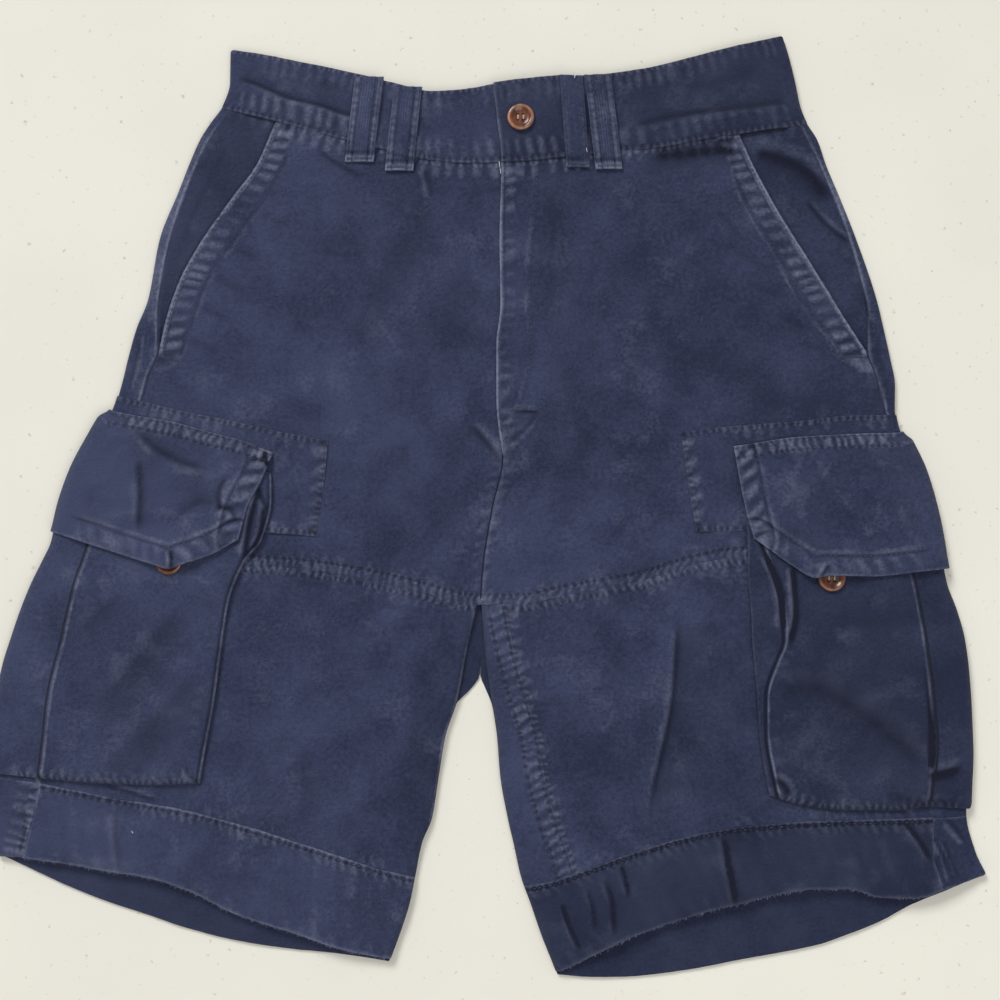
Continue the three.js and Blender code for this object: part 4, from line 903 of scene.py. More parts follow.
upperFront = {
    "slashLobes": {"pitch": 8.2, "height": 1.25, "soft": 3, "wear": 0.85, "seed": 51},
    "slashRoll": {"pitch": 3.1, "height": 0.3, "soft": 1.0, "wear": 0.9, "seed": 53},
    "dents": {
        "left": [(262, 214, 288, 226), (238, 250, 262, 262), (216, 278, 246, 294), (202, 308, 230, 322),
                 (190, 342, 218, 352)],
        "right": [(716, 214, 742, 236), (736, 250, 764, 268), (752, 284, 786, 300), (780, 316, 806, 330),
                  (800, 344, 826, 352)]},
    "dentSize": {"halfWidth": 3.6, "depth": 0.9, "dark": 0.32},
    "waistLobes": {"band": (-10, -0.5), "pitch": 8.5, "height": 0.6, "seed": 54, "soft": 4, "wear": 0.5},
    "kneeLobes": {"band": (-1, 5.0), "pitch": 4.9, "height": 0.6, "lean": 0.2, "seed": 56, "soft": 1.6, "wear": 0.8},
    "aboveKnee": {"band": (6.5, 11), "pitch": 8.2, "height": 0.3, "seed": 57, "soft": 4, "wear": 0.3},
    "seatLobes": {"pitch": 8.5, "height": 0.45, "seed": 58, "soft": 4, "wear": 0.4, "lean": 0.5},
    "flyLobes": {"band": (2.4, 9), "pitch": 8.4, "height": 0.7, "lean": 0.2, "seed": 59, "soft": 3.5, "wear": 0.5},
    "folds": {
        "left": [{"along": [(470, 422), (487, 440), (503, 462)], "height": 1.4, "sharp": 2, "soft": 8, "dark": 0.9,
                  "fade": 8},
                 {"along": [(392, 360), (440, 300), (478, 262)], "height": 0.9, "sharp": 9, "soft": 22,
                  "dark": 0.12},
                 {"along": [(318, 148), (338, 163), (366, 177)], "height": 1.0, "sharp": 1.6, "soft": 6, "dark": 0.7,
                  "fade": 6},
                 {"along": [(430, 200), (427, 184), (421, 168)], "height": 0.8, "sharp": 1.6, "soft": 6, "dark": 0.8,
                  "fade": 5},
                 {"along": [(346, 345), (372, 290), (400, 240), (420, 192)], "height": 1.3, "sharp": 10, "soft": 18,
                  "dark": 0.1, "shade": 0.22}],
        "right": [{"along": [(552, 190), (556, 250), (549, 330)], "height": 0.9, "sharp": 5, "soft": 12,
                   "dark": 0.25},
                  {"along": [(646, 160), (690, 156), (738, 150)], "height": 0.9, "sharp": 7, "soft": 8,
                   "dark": 0.4, "fade": 10, "shade": -1.5},
                  {"along": [(512, 408), (525, 411), (540, 409)], "height": 0.7, "sharp": 1.5, "soft": 4,
                   "dark": 0.9, "fade": 4},
                  {"along": [(540, 410), (528, 428), (508, 446)], "height": 0.7, "sharp": 1.5, "soft": 5,
                   "dark": 0.7, "fade": 5}]}}


def makeUpperFront(side):
    sign = outward[side]
    outer = lambda y: np.where(np.asarray(y) > 88, slash[side](y), sideSeam[side](y)) - sign * halfGap
    lap = (lambda y: (25 + halfGap) * ease((y - 45) / 30)) if side == "left" else (lambda y: 0 * y)
    inner = lambda y: middle(y) + sign * halfGap + lap(y)
    edges = (shift(waistSeam, -halfGap), shift(knee, halfGap))
    left = side == "left"
    near = 1 if left else -1

    def surface(x, y):
        relief = Relief(x, y)
        relief.puckers(slashLine[side], tuple(sorted((3.8 * near, 13.0 * near))), lean=-0.3 * sign,
                       **upperFront["slashLobes"])
        relief.dents(upperFront["dents"][side], **upperFront["dentSize"])
        relief.furrow(slashLine[side], 2.9 * near, 0.7, 0.25, 0.5)
        relief.wornEdge(slashLine[side], 1.5, 2.0, at=0.9 * near)
        relief.puckers(slashLine[side], tuple(sorted((-0.4 * near, 2.0 * near))), **upperFront["slashRoll"])
        relief.furrow(slashStitch[side], 0, 0.9, 0.4, 0.6)
        relief.wornEdge(slashStitch[side], 1.3, 0.35, at=1.8 * near)
        relief.puckers(waistSeamLine[side], **upperFront["waistLobes"])
        relief.puckers(kneeLine[side], **upperFront["kneeLobes"])
        relief.furrow(kneeLine[side], 5.4, 0.7, 0.35, 0.8)
        relief.ribs(kneeLine[side], 5.4, 2.2)
        relief.ribs(waistSeamLine[side], -1.5, 2.4)
        relief.puckers(kneeLine[side], **upperFront["aboveKnee"])
        relief.puckers(seatLine, (0.5, 6) if not left else (-6, -0.5), **upperFront["seatLobes"])
        if not left:
            relief.puckers(flyLine, **upperFront["flyLobes"])
            relief.wornEdge(flyLine, 0.75, 2.2, at=0.2)
            relief.furrow(flyLine, 2.2, 0.6, 0.25, 0.5)
            relief.furrow(jStitch, 0, 1.2, 0.25, 0.35)
            relief.wornEdge(jStitch, 1.4, 0.4, at=-1.6)
            relief.furrow(seatLine, 0.3, 0.7, 0.4, 1.6)
            relief.wornEdge(seatLine, 1.2, 0.7, at=1.8)
        relief.creases(upperFront["folds"][side])
        relief.unevenness(61, 0.28)
        return frontTop(side, x, y) + relief.height, relief.marks()

    shares = [spread(170 if not left else 195, 1.55)]
    makeLaid(f"front_upper_{side}", (outer, inner), edges, shares, spread(270, 1.7), surface,
             thickness=cloth["twill"], material=navyTwill, slotName="navy_twill", restsOn=f"back_{side}")
    sew(slashLine[side], 1.6 * near, surface, 2)
    sew(slashStitch[side], 0, surface)
    sew(kneeLine[side], 5.4, surface, 3)
    if not left:
        sew(flyLine, 1.7, surface, 2)
        sew(jStitch, 0, surface)
    return surface


def inseamRails(side):
    return [shift(legInner[side], outward[side] * by) for by in (cloth["inseamWidth"], 0)]


inseamShares = 1 - np.array([5, 4.1, 3.3, 2.6, 1.9, 1.3, 0.8, 0.45, 0.18, 0]) / 5

lowerFront = {
    "kneeLobes": {"band": (-3.4, 1), "pitch": 4.9, "height": 0.6, "lean": 0.2, "seed": 56, "soft": 1.6, "wear": 0.8},
    "belowKnee": {"band": (-10, -4), "pitch": 8.2, "height": 0.3, "seed": 63, "soft": 4, "wear": 0.3},
    "hemLobes": {"band": (0.5, 6), "pitch": 6.4, "height": 0.35, "lean": 0.5, "seed": 64, "soft": 4, "wear": 0.25},
    "turnLobes": {"band": (1, 7), "pitch": 9, "height": 0.45, "seed": 65, "soft": 3, "wear": 0.4},
    "folds": {
        "left": [{"along": [(299, 832), (302, 790), (300, 738)], "height": 0.9, "sharp": 5, "soft": 12,
                  "dark": 0.15, "shade": 0.15},
                 {"along": [(104, 784), (130, 791), (160, 801)], "height": 0.9, "sharp": 1.5, "soft": 4,
                  "dark": 0.8, "fade": 6},
                 {"along": [(420, 800), (412, 740), (418, 690)], "height": 1.0, "sharp": 8, "soft": 18,
                  "dark": 0.1, "shade": 0.2}],
        "right": [{"along": [(646, 822), (653, 783), (661, 749), (670, 706), (674, 660), (677, 606)], "height": 2.3,
                   "sharp": 2.0, "soft": 19, "dark": 0.6, "fade": 26, "shade": 0.55},
                  {"along": [(700, 645), (706, 628), (730, 622), (748, 632)], "height": 0.9, "sharp": 4, "soft": 9,
                   "dark": 0.3}]}}


def makeLowerFront(side):
    sign = outward[side]
    outer = shift(sideSeam[side], -sign * halfGap)
    edges = (shift(knee, -halfGap), shift(hemSeam[side], halfGap))
    turned = lambda y: legInner[side](y) + turnWidth(y) + halfGap
    turnedLine = lineDown(turned, -72, -238)
    left = side == "left"

    def surface(x, y):
        relief = Relief(x, y)
        relief.puckers(kneeLine[side], **lowerFront["kneeLobes"])
        relief.furrow(kneeLine[side], -3.2, 0.7, 0.35, 0.7)
        relief.ribs(kneeLine[side], -3.2, 2.2)
        relief.puckers(kneeLine[side], **lowerFront["belowKnee"])
        relief.puckers(hemLine[side], **lowerFront["hemLobes"])
        if not left:
            relief.puckers(turnedLine, **lowerFront["turnLobes"])
            relief.ribs(turnedLine, 1.5, 2.2)
        relief.creases(lowerFront["folds"][side])
        if left:
            relief.wornEdge(lineDown(legInner["left"], -70, -200), 0.8, 0.9, at=-0.9)
        relief.unevenness(66, 0.3)
        return legTop(side, x, y) + relief.height, relief.marks()

    wide = spread(236 if left else 220, 1.6, True, not left)
    rails = [outer, *inseamRails(side)] if left else [outer, turned]
    shares = [wide, inseamShares] if left else [wide]
    makeLaid(f"front_lower_{side}", rails, edges, shares, spread(165, 1.7), surface,
             thickness=cloth["twill"], material=navyTwill, slotName="navy_twill", restsOn=f"back_{side}")
    sew(kneeLine[side], -3.2, surface, 3)
    return surface


inseamTurn = {
    "lobes": {"band": (-9.5, -2.2), "pitch": 6.2, "height": 0.75, "lean": 0.2, "seed": 71, "soft": 2, "wear": 0.7},
    "stitches": (-1.8, -10.6)}


def makeInseamTurn():
    turned = lambda y: legInner["right"](y) + turnWidth(y) - halfGap
    edges = (shift(knee, -halfGap), shift(hemSeam["right"], halfGap))
    edgeLine = lineDown(turned, -72, -238)

    def surface(x, y):
        relief = Relief(x, y)
        relief.puckers(edgeLine, **inseamTurn["lobes"])
        for at in inseamTurn["stitches"]:
            relief.furrow(edgeLine, at, 0.8, 0.35, 0.6)
            relief.ribs(edgeLine, at, 2.4)
        relief.unevenness(72, 0.4)
        relief.faded(ease((x - legInner["right"](y)) / 6))
        return legTop("right", x, y) + relief.height, relief.marks()

    shares = [spread(22, 1.2, True, False), inseamShares]
    makeLaid("inseam_turn_right", [turned, *inseamRails("right")], edges, shares,
             spread(165, 1.5), surface, thickness=cloth["twill"], material=wornTwill, slotName="worn_twill",
             restsOn="back_right", edgeWear=0.3)
    for at in inseamTurn["stitches"]:
        sew(edgeLine, at, surface, 2)


frontHem = {
    "seamLobes": {"band": (-8, -1), "pitch": 6.4, "height": 0.5, "lean": 0.5, "seed": 64, "soft": 4, "wear": 0.4},
    "flatLobes": {"band": (-44, -9), "pitch": 12.0, "height": 0.4, "lean": 0.3, "seed": 75, "soft": 9, "wear": 0.12},
    "edgeLobes": {"band": (1, 8), "pitch": 11.4, "height": 0.45, "lean": 0.3, "seed": 76, "soft": 5, "wear": 0.2},
    "stitchAt": -2.2, "shade": {"left": 0.06, "right": 0.62},
    "folds": {
        "left": [{"along": [(121, 880), (116, 845), (113, 805)], "height": 0.8, "sharp": 2, "soft": 7, "dark": 0.35,
                  "fade": 8}],
        "right": [{"along": [(734, 908), (728, 876), (721, 832)], "height": 1.4, "sharp": 2.0, "soft": 8,
                   "dark": 0.85, "fade": 8, "shade": 0.25},
                  {"along": [(628, 900), (624, 880), (618, 862)], "height": 0.9, "sharp": 1.6, "soft": 6,
                   "dark": 0.8, "fade": 6},
                  {"along": [(613, 938), (611, 905), (602, 876)], "height": 1.0, "sharp": 1.8, "soft": 6,
                   "dark": 0.7, "fade": 9},
                  {"along": [(594, 934), (592, 910), (584, 884)], "height": 0.9, "sharp": 1.6, "soft": 5,
                   "dark": 0.6, "fade": 9},
                  {"along": [(580, 952), (568, 926), (560, 902)], "height": 0.9, "sharp": 1.4, "soft": 4,
                   "dark": 0.9, "fade": 5},
                  {"along": [(930, 862), (914, 836), (900, 820)], "height": 1.0, "sharp": 1.6, "soft": 5,
                   "dark": 1.1, "fade": 5}]}}


def makeFrontHem(side):
    sign = outward[side]
    outer = shift(sideSeam[side], -sign * halfGap)
    edges = (shift(hemSeam[side], -halfGap), hemFront[side])

    def surface(x, y):
        relief = Relief(x, y)
        relief.puckers(hemLine[side], **frontHem["seamLobes"])
        relief.puckers(hemLine[side], **frontHem["flatLobes"])
        relief.puckers(hemEdgeLine[side], **frontHem["edgeLobes"])
        relief.furrow(hemLine[side], frontHem["stitchAt"], 0.8, 0.4, 0.8)
        relief.ribs(hemLine[side], frontHem["stitchAt"], 2.6)
        relief.creases(frontHem["folds"][side])
        relief.unevenness(77, 0.45)
        relief.dark += frontHem["shade"][side]
        return legTop(side, x, y, 2.4) + relief.height, relief.marks()

    makeLaid(f"hem_front_{side}", [outer, *inseamRails(side)], edges, [spread(236, 1.5, True, False), inseamShares],
             spread(48, 1.3), surface, thickness=cloth["doubled"], material=wornTwill, slotName="worn_twill",
             restsOn=f"hem_back_{side}", edgeWear=0.9)
    sew(hemLine[side], frontHem["stitchAt"], surface, 2)
    return surface


# A piece that lies over the leg and goes down round its side fold to the table
def makeOverSide(name, side, rails, edges, shares, rows, surface, **finish):
    x, y = spanAll([railOf(side, cloth["sideRadius"]), *rails], edges, shares, rows)
    z, marks = surface(x, y)
    first = z[:, :1] - legTop(side, x[:, :1], y[:, :1])
    lowest = -np.arcsin((cloth["sideRadius"] - cloth["clearOfTable"]) / (cloth["sideRadius"] + first))
    angles = mix(np.pi / 2, lowest, np.linspace(1, 0, 12)[None, :-1])
    turn = roundSide(side, x[:, :1], y[:, :1], cloth["sideRadius"], first, angles)
    grid = [np.concatenate([part, top], axis=1) for part, top in zip(turn, (x, y, z))]
    marks = {label: np.concatenate([np.repeat(values[:, :1], angles.shape[1], axis=1), values], axis=1)
             for label, values in marks.items()}
    return makeCloth(name, grid, marks, **finish)


patch = {
    "topLobes": {"band": (-9, -1.5), "pitch": 7.6, "height": 0.6, "seed": 81, "soft": 4, "wear": 0.32},
    "bottomLobes": {"band": (0.5, 7), "pitch": 8.5, "height": 0.4, "seed": 82, "soft": 4, "wear": 0.3},
    "endLobes": {"pitch": 11.5, "height": 0.7, "seed": 83, "soft": 4, "wear": 0.5, "lean": 0.5},
    "stitchAt": 1.8, "lying": 0.75}


def makePatch(side):
    top, bottom = patchEdges[side]
    inward = 1 if side == "right" else -1
    ends = {"left": (-236, -98), "right": (121, 258)}[side]
    lower = {"left": (-236, -106), "right": (130, 258)}[side]
    lines = [lineAcross(top, *ends), lineAcross(bottom, *lower), lineDown(patchEnd[side], 34, -23)]
    stitches = [at * patch["stitchAt"] for at in (-1, 1, inward)]

    def surface(x, y):
        relief = Relief(x, y)
        relief.puckers(lines[0], **patch["topLobes"])
        relief.puckers(lines[1], **patch["bottomLobes"])
        relief.puckers(lines[2], tuple(sorted((0.5 * inward, 8 * inward))), **patch["endLobes"])
        for line, at in zip(lines, stitches):
            relief.furrow(line, at, 0.7, 0.3, 0.6)
            relief.ribs(line, at, 2.2)
        relief.unevenness(84, 0.4)
        relief.faded(ease((insideOf(side, x, y) - cloth["sideRadius"]) / 9))
        return legTop(side, x, y) + patch["lying"] + relief.height, relief.marks()

    makeOverSide(f"patch_{side}", side, [patchEnd[side]], (top, bottom), [spread(140, 1.7, False, True)],
                 spread(66, 1.5), surface, thickness=patch["lying"], material=navyTwill,
                 slotName="navy_twill", restsOn=f"front_upper_{side}", edgeWear=0.1)
    for line, at in zip(lines, stitches):
        sew(line, at, surface, 2)


def pocketRest(y):
    return mix(pocketEdgeLayer, pocketOnPatch, ease((y + 46) / 15))


cargoPocket = {
    "bottomLobes": {"band": (1, 7), "pitch": 6.4, "height": 0.4, "seed": 91, "soft": 4, "wear": 0.35},
    "faceLobes": {"pitch": 9.5, "height": 0.3, "seed": 92, "soft": 3, "wear": 0.2},
    "shade": {"left": 0.0, "right": 0.32},
    "folds": {
        "left": [{"along": [(84, 716), (112, 692), (146, 650), (184, 600)], "height": 1.6, "sharp": 10, "soft": 16,
                  "dark": 0.2, "fade": 22, "shade": 0.3},
                 {"along": [(98, 782), (124, 752), (160, 716), (204, 660)], "height": 1.5, "sharp": 10, "soft": 16,
                  "dark": 0.2, "fade": 22, "shade": 0.3},
                 {"along": [(80, 640), (100, 612), (128, 590)], "height": 1.2, "sharp": 6, "soft": 12, "dark": 0.25,
                  "shade": 0.15},
                 {"along": [(196, 782), (188, 774), (186, 764)], "height": 1.0, "sharp": 1.6, "soft": 4,
                  "dark": 0.7, "fade": 4}],
        "right": [{"along": [(768, 696), (800, 690), (846, 708), (886, 738), (926, 776)], "height": 2.4, "sharp": 9,
                   "soft": 17, "dark": 0.25, "fade": 22, "shade": -0.75},
                  {"along": [(932, 618), (880, 628), (824, 622)], "height": 1.2, "sharp": 8, "soft": 14,
                   "dark": 0.2, "shade": 0.2},
                  {"along": [(772, 776), (782, 782), (792, 796)], "height": 1.1, "sharp": 2.2, "soft": 5,
                   "dark": 0.9, "fade": 4},
                  {"along": [(924, 774), (948, 770), (980, 756)], "height": 1.4, "sharp": 3.0, "soft": 7,
                   "dark": 1.2, "fade": 5, "shade": 0.4},
                  {"along": [(880, 792), (930, 802), (975, 800)], "height": -1.0, "sharp": 3.0, "soft": 5,
                   "dark": 0.5, "fade": 6, "shade": -0.4},
                  {"along": [(954, 758), (966, 735), (972, 698)], "height": 0.9, "sharp": 1.4, "soft": 6,
                   "dark": 0.5, "fade": 8}]},
    "wedge": [(920, 640), (925, 690), (929, 735), (929, 770)],
    "gussetFolds": {
        "left": [{"along": [(244, 560), (250, 522), (261, 484)], "height": 1.2, "sharp": 2.0, "soft": 5,
                  "dark": 1.4, "fade": 5},
                 {"along": [(252, 552), (261, 530), (264, 506)], "height": 1.0, "sharp": 1.6, "soft": 4,
                  "dark": 1.1, "fade": 4},
                 {"along": [(268, 512), (262, 500), (258, 492)], "height": 0.9, "sharp": 1.6, "soft": 4,
                  "dark": 0.8, "fade": 3}],
        "right": [{"along": [(786, 648), (793, 612), (789, 562)], "height": 1.4, "sharp": 2.0, "soft": 6,
                   "dark": 1.5, "fade": 8},
                  {"along": [(780, 634), (779, 600), (762, 552)], "height": 1.1, "sharp": 2.0, "soft": 5,
                   "dark": 1.5, "fade": 8}]}}


def makePocket(side):
    sign = outward[side]
    pocketSeam, pocketFace = pocketRails[side]
    top, bottom = shift(flapEdges[side][0], -13), pocketBottom[side]
    bottomLine = lineAcross(bottom, *{"left": (-285, -175), "right": (174, 285)}[side])
    seamLine = lineDown(pocketSeam, 10, -176 if side == "left" else -188)
    faceLine = lineDown(pocketFace, 10, -172 if side == "left" else -184)
    pleatLine = lineDown(pleat[side], -30, -172 if side == "left" else -186)

    def surface(x, y):
        relief = Relief(x, y)
        relief.puckers(bottomLine, **cargoPocket["bottomLobes"])
        relief.ribs(bottomLine, 1.5, 2.5)
        relief.puckers(faceLine, (1, 7) if side == "right" else (-7, -1), **cargoPocket["faceLobes"])
        if side == "left":
            # bright line at the seam fold: worn edge, partly a painted highlight where the fold slopes away from the
            # lamp
            relief.wornEdge(seamLine, 0.6, 1.7, at=-0.7)
            relief.furrow(seamLine, -2.0, 0.7, 0.3, 1.1)
        else:
            relief.wornEdge(faceLine, 0.7, 1.5, at=0.3)
            relief.furrow(faceLine, -1.6, 1.0, 0.3, 1.3)
            relief.wornEdge(seamLine, 0.8, 0.4, at=0.8)
            # painted shade in the sunken gap of the pleat's wedge
            wedgeOff, wedgeRun = nearest(smoothLine(fromPhoto(cargoPocket["wedge"])), x, y)
            gap = ease(wedgeRun / 70) * ease((80 - wedgeRun) / 6)
            relief.dark += 1.7 * gap * np.exp(-(wedgeOff / (0.5 + 1.5 * gap)) ** 4)
            relief.height -= 0.9 * gap * np.exp(-(wedgeOff / (0.7 + 1.6 * gap)) ** 4)
        relief.furrow(pleatLine, 0.8 * sign, 0.8, 0.5, 1.5)
        relief.wornEdge(pleatLine, 0.8, 1.1, at=-1.2 * sign)
        relief.creases(cargoPocket["folds"][side])
        relief.unevenness(93, 0.45)
        width = sign * (pocketFace(y) - pocketSeam(y))
        fromSeam = quarterRound(sign * (x - pocketSeam(y)) / width)
        fromBottom = quarterRound((y - bottom(x)) / 5)
        step = cloth["pleatStep"] * ease(sign * (x - pleat[side](y)) / cloth["pleatWidth"]) * ease((-24 - y) / 14)
        soft = foldHeight(pocketFolds, x, y) * ease(sign * (pleat[side](y) - x) / 16) * ease((-30 - y) / 20)
        rest = pocketRest(y)
        body = rest + (cloth["pocketDepth"] - step + soft - rest) * fromSeam * fromBottom
        relief.faded(ease((insideOf(side, x, y) - cloth["sideRadius"]) / 9) * (0.25 + 0.75 * fromSeam * fromBottom))
        relief.creases(cargoPocket["gussetFolds"][side])
        relief.dark += cargoPocket["shade"][side]
        return legTop(side, x, y) + body + relief.height, relief.marks()

    rails = [shift(pleat[side], sign * cloth["pleatWidth"]), pleat[side], pocketFace, pocketSeam]
    fineToSeam = np.sin(np.linspace(0, np.pi / 2, 10 if side == "left" else 18))
    fineToFace = 1 - (1 - np.linspace(0, 1, 74)) ** 1.25
    shares = [np.linspace(0, 1, 16), np.linspace(0, 1, 7), fineToFace, fineToSeam]
    rowSteps = np.array([5, 4.1, 3.3, 2.6, 1.9, 1.3, 0.8, 0.45, 0.18, 0])
    rows = np.concatenate([spread(205, 1.5, True, False)[:-1] * (1 - 5 / 205), 1 - rowSteps / 205])
    makeOverSide(f"cargo_pocket_{side}", side, rails, (top, bottom), shares, rows, surface,
                 thickness=cloth["twill"], material=navyTwill, slotName="navy_twill",
                 restsOn=[f"front_lower_{side}", f"patch_{side}"], edgeWear=0.35)


buttonPlaces = {"button_waist": (21, 237), "button_cargo_left": (-194, -42.6), "button_cargo_right": (210, -53)}
button = {
    "diameter": 17, "thickness": 2.6, "dish": 0.56, "holeRadius": 0.95, "holeOffset": 1.7, "holeDepth": 1.1,
    "pointsAround": 72}

flap = {
    "bottomLobes": {"band": (2, 11), "pitch": 10.5, "height": 0.9, "seed": 101, "soft": 4, "wear": 0.5, "lean": 0.5},
    "endLobes": {"pitch": 9.4, "height": 1.2, "seed": 102, "soft": 4, "wear": 1.1, "lean": 0.5},
    "topLobes": {"band": (-7.5, -2), "pitch": 6.0, "height": 0.8, "seed": 103, "soft": 2, "wear": 0.8},
    "borderStitch": 12.6, "topStitches": (-1.6, -8.0),
    "folds": {
        "left": [{"along": [(139, 534), (141, 500), (139, 458)], "height": 1.7, "sharp": 2.4, "soft": 10, "dark": 0.6,
                  "fade": 8, "shade": 0.35},
                 {"along": [(208, 474), (170, 460), (134, 432)], "height": 1.8, "sharp": 2.6, "soft": 11,
                  "dark": 0.5, "fade": 8, "shade": 0.4},
                 {"along": [(104, 520), (92, 504), (76, 488)], "height": 1.0, "sharp": 6, "soft": 12, "dark": 0.2,
                  "shade": 0.2},
                 {"along": [(226, 508), (206, 506), (172, 528)], "height": 1.6, "sharp": 3.4, "soft": 12,
                  "dark": 0.25, "shade": 0.35},
                 {"along": [(238, 522), (228, 510), (216, 512)], "height": 1.2, "sharp": 1.8, "soft": 5,
                  "dark": 1.0, "fade": 4},
                 {"along": [(230, 478), (222, 496), (224, 512)], "height": 1.2, "sharp": 1.8, "soft": 6,
                  "dark": 0.9, "fade": 4},
                 {"along": [(173, 572), (174, 562), (172, 550)], "height": 1.2, "sharp": 1.4, "soft": 4,
                  "dark": 1.3, "fade": 3},
                 {"along": [(268, 470), (266, 460), (262, 452)], "height": 1.2, "sharp": 1.6, "soft": 4,
                  "dark": 1.2, "fade": 3}],
        "right": [{"along": [(750, 538), (758, 534), (770, 530)], "height": 0.9, "sharp": 1.4, "soft": 4,
                   "dark": 0.9, "fade": 3},
                  {"along": [(816, 580), (820, 572), (826, 564)], "height": 0.9, "sharp": 1.4, "soft": 4,
                   "dark": 1.1, "fade": 3},
                  {"along": [(828, 552), (796, 538), (776, 524)], "height": 1.1, "sharp": 3, "soft": 8,
                   "dark": 0.3, "shade": -0.2},
                  {"along": [(772, 534), (790, 500), (800, 466)], "height": 0.9, "sharp": 6, "soft": 14,
                   "dark": 0.15},
                  {"along": [(880, 560), (900, 520), (904, 480)], "height": 0.7, "sharp": 6, "soft": 14,
                   "dark": 0.12}]}}


def makeFlap(side):
    sign = outward[side]
    top, bottom = flapEdges[side]
    spot = buttonPlaces[f"button_cargo_{side}"]
    ends = {"left": (-262, -152), "right": (163.5, 280)}[side]
    bottomLine = lineAcross(bottom, *ends)
    topLine = lineAcross(top, *{"left": (-240, -130), "right": (152, 262)}[side])
    endLine = lineDown(flapEnd[side], 26, -29)
    border = flap["borderStitch"]

    def surface(x, y):
        relief = Relief(x, y)
        relief.puckers(bottomLine, **flap["bottomLobes"])
        relief.furrow(bottomLine, border, 0.8, 0.4, 0.9)
        relief.wornEdge(bottomLine, 1.5, 0.5, at=border + 1.9)
        relief.puckers(endLine, tuple(sorted((2 * sign, 11 * sign))), **flap["endLobes"])
        relief.furrow(endLine, border * sign, 0.8, 0.4, 0.8)
        relief.wornEdge(endLine, 1.5, 0.45, at=(border + 1.9) * sign)
        relief.puckers(topLine, **flap["topLobes"])
        for at in flap["topStitches"]:
            relief.furrow(topLine, at, 0.8, 0.3, 0.6)
            relief.ribs(topLine, at, 2.2)
        relief.creases(flap["folds"][side])
        relief.unevenness(104, 0.75)
        relief.faded(ease((insideOf(side, x, y) - cloth["sideRadius"]) / 12))
        away = np.hypot(x - spot[0], y - spot[1]) - button["diameter"] / 2 - 1
        lift = (button["thickness"] + cloth["layerGap"]) * ease(1 - away / 18)
        fromSeam = ease((top(x) - y) / cloth["flapRise"])
        soft = np.maximum(0, foldHeight(pocketFolds, x, y)) * ease((y - 6) / 8)
        inside = ease((insideOf(side, x, y) - cloth["sideRadius"]) / 20)
        curl = cloth["flapCurl"] * ease(1 - (y - bottom(x)) / 14) * inside
        body = mix(flapSeamLayer, flapLayer, fromSeam) + lift + soft * fromSeam + curl
        return legTop(side, x, y) + body + relief.height, relief.marks()

    makeOverSide(f"flap_{side}", side, [flapEnd[side]], (top, bottom), [spread(128, 1.45, False, True)],
                 spread(80, 1.3), surface, thickness=cloth["flap"], material=wornTwill,
                 slotName="worn_twill", restsOn=f"cargo_pocket_{side}", edgeWear=0.6)
    sew(bottomLine, border, surface, 12)
    sew(endLine, border * sign, surface, 4)
    for at in flap["topStitches"]:
        sew(topLine, at, surface, 3)


# Where each loop's middle crosses the waistband's top and its seam, its width, and how far below the seam it ends
beltLoops = {
    "belt_loop_left_outer": (-74.5, -80.5, 18.5, 12.5), "belt_loop_left_inner": (-50, -55.5, 18, 12),
    "belt_loop_right_inner": (53, 57, 15, 8), "belt_loop_right_outer": (69.8, 76.5, 17, 11.5)}
loopLook = {
    "edgeLobes": {"pitch": 5.2, "height": 0.25, "soft": 2, "wear": 0.35}, "stitchAt": 4.4, "endWear": 1.9,
    "endLength": 2.6, "ridgePitch": 3.4, "ridgeWear": 0.35, "tackAt": 6.2, "tackWidth": 1.4,
    "faint": {"belt_loop_right_inner": 0.3}}
barTacks = []  # short dense rows of stitches: both ends and the surface


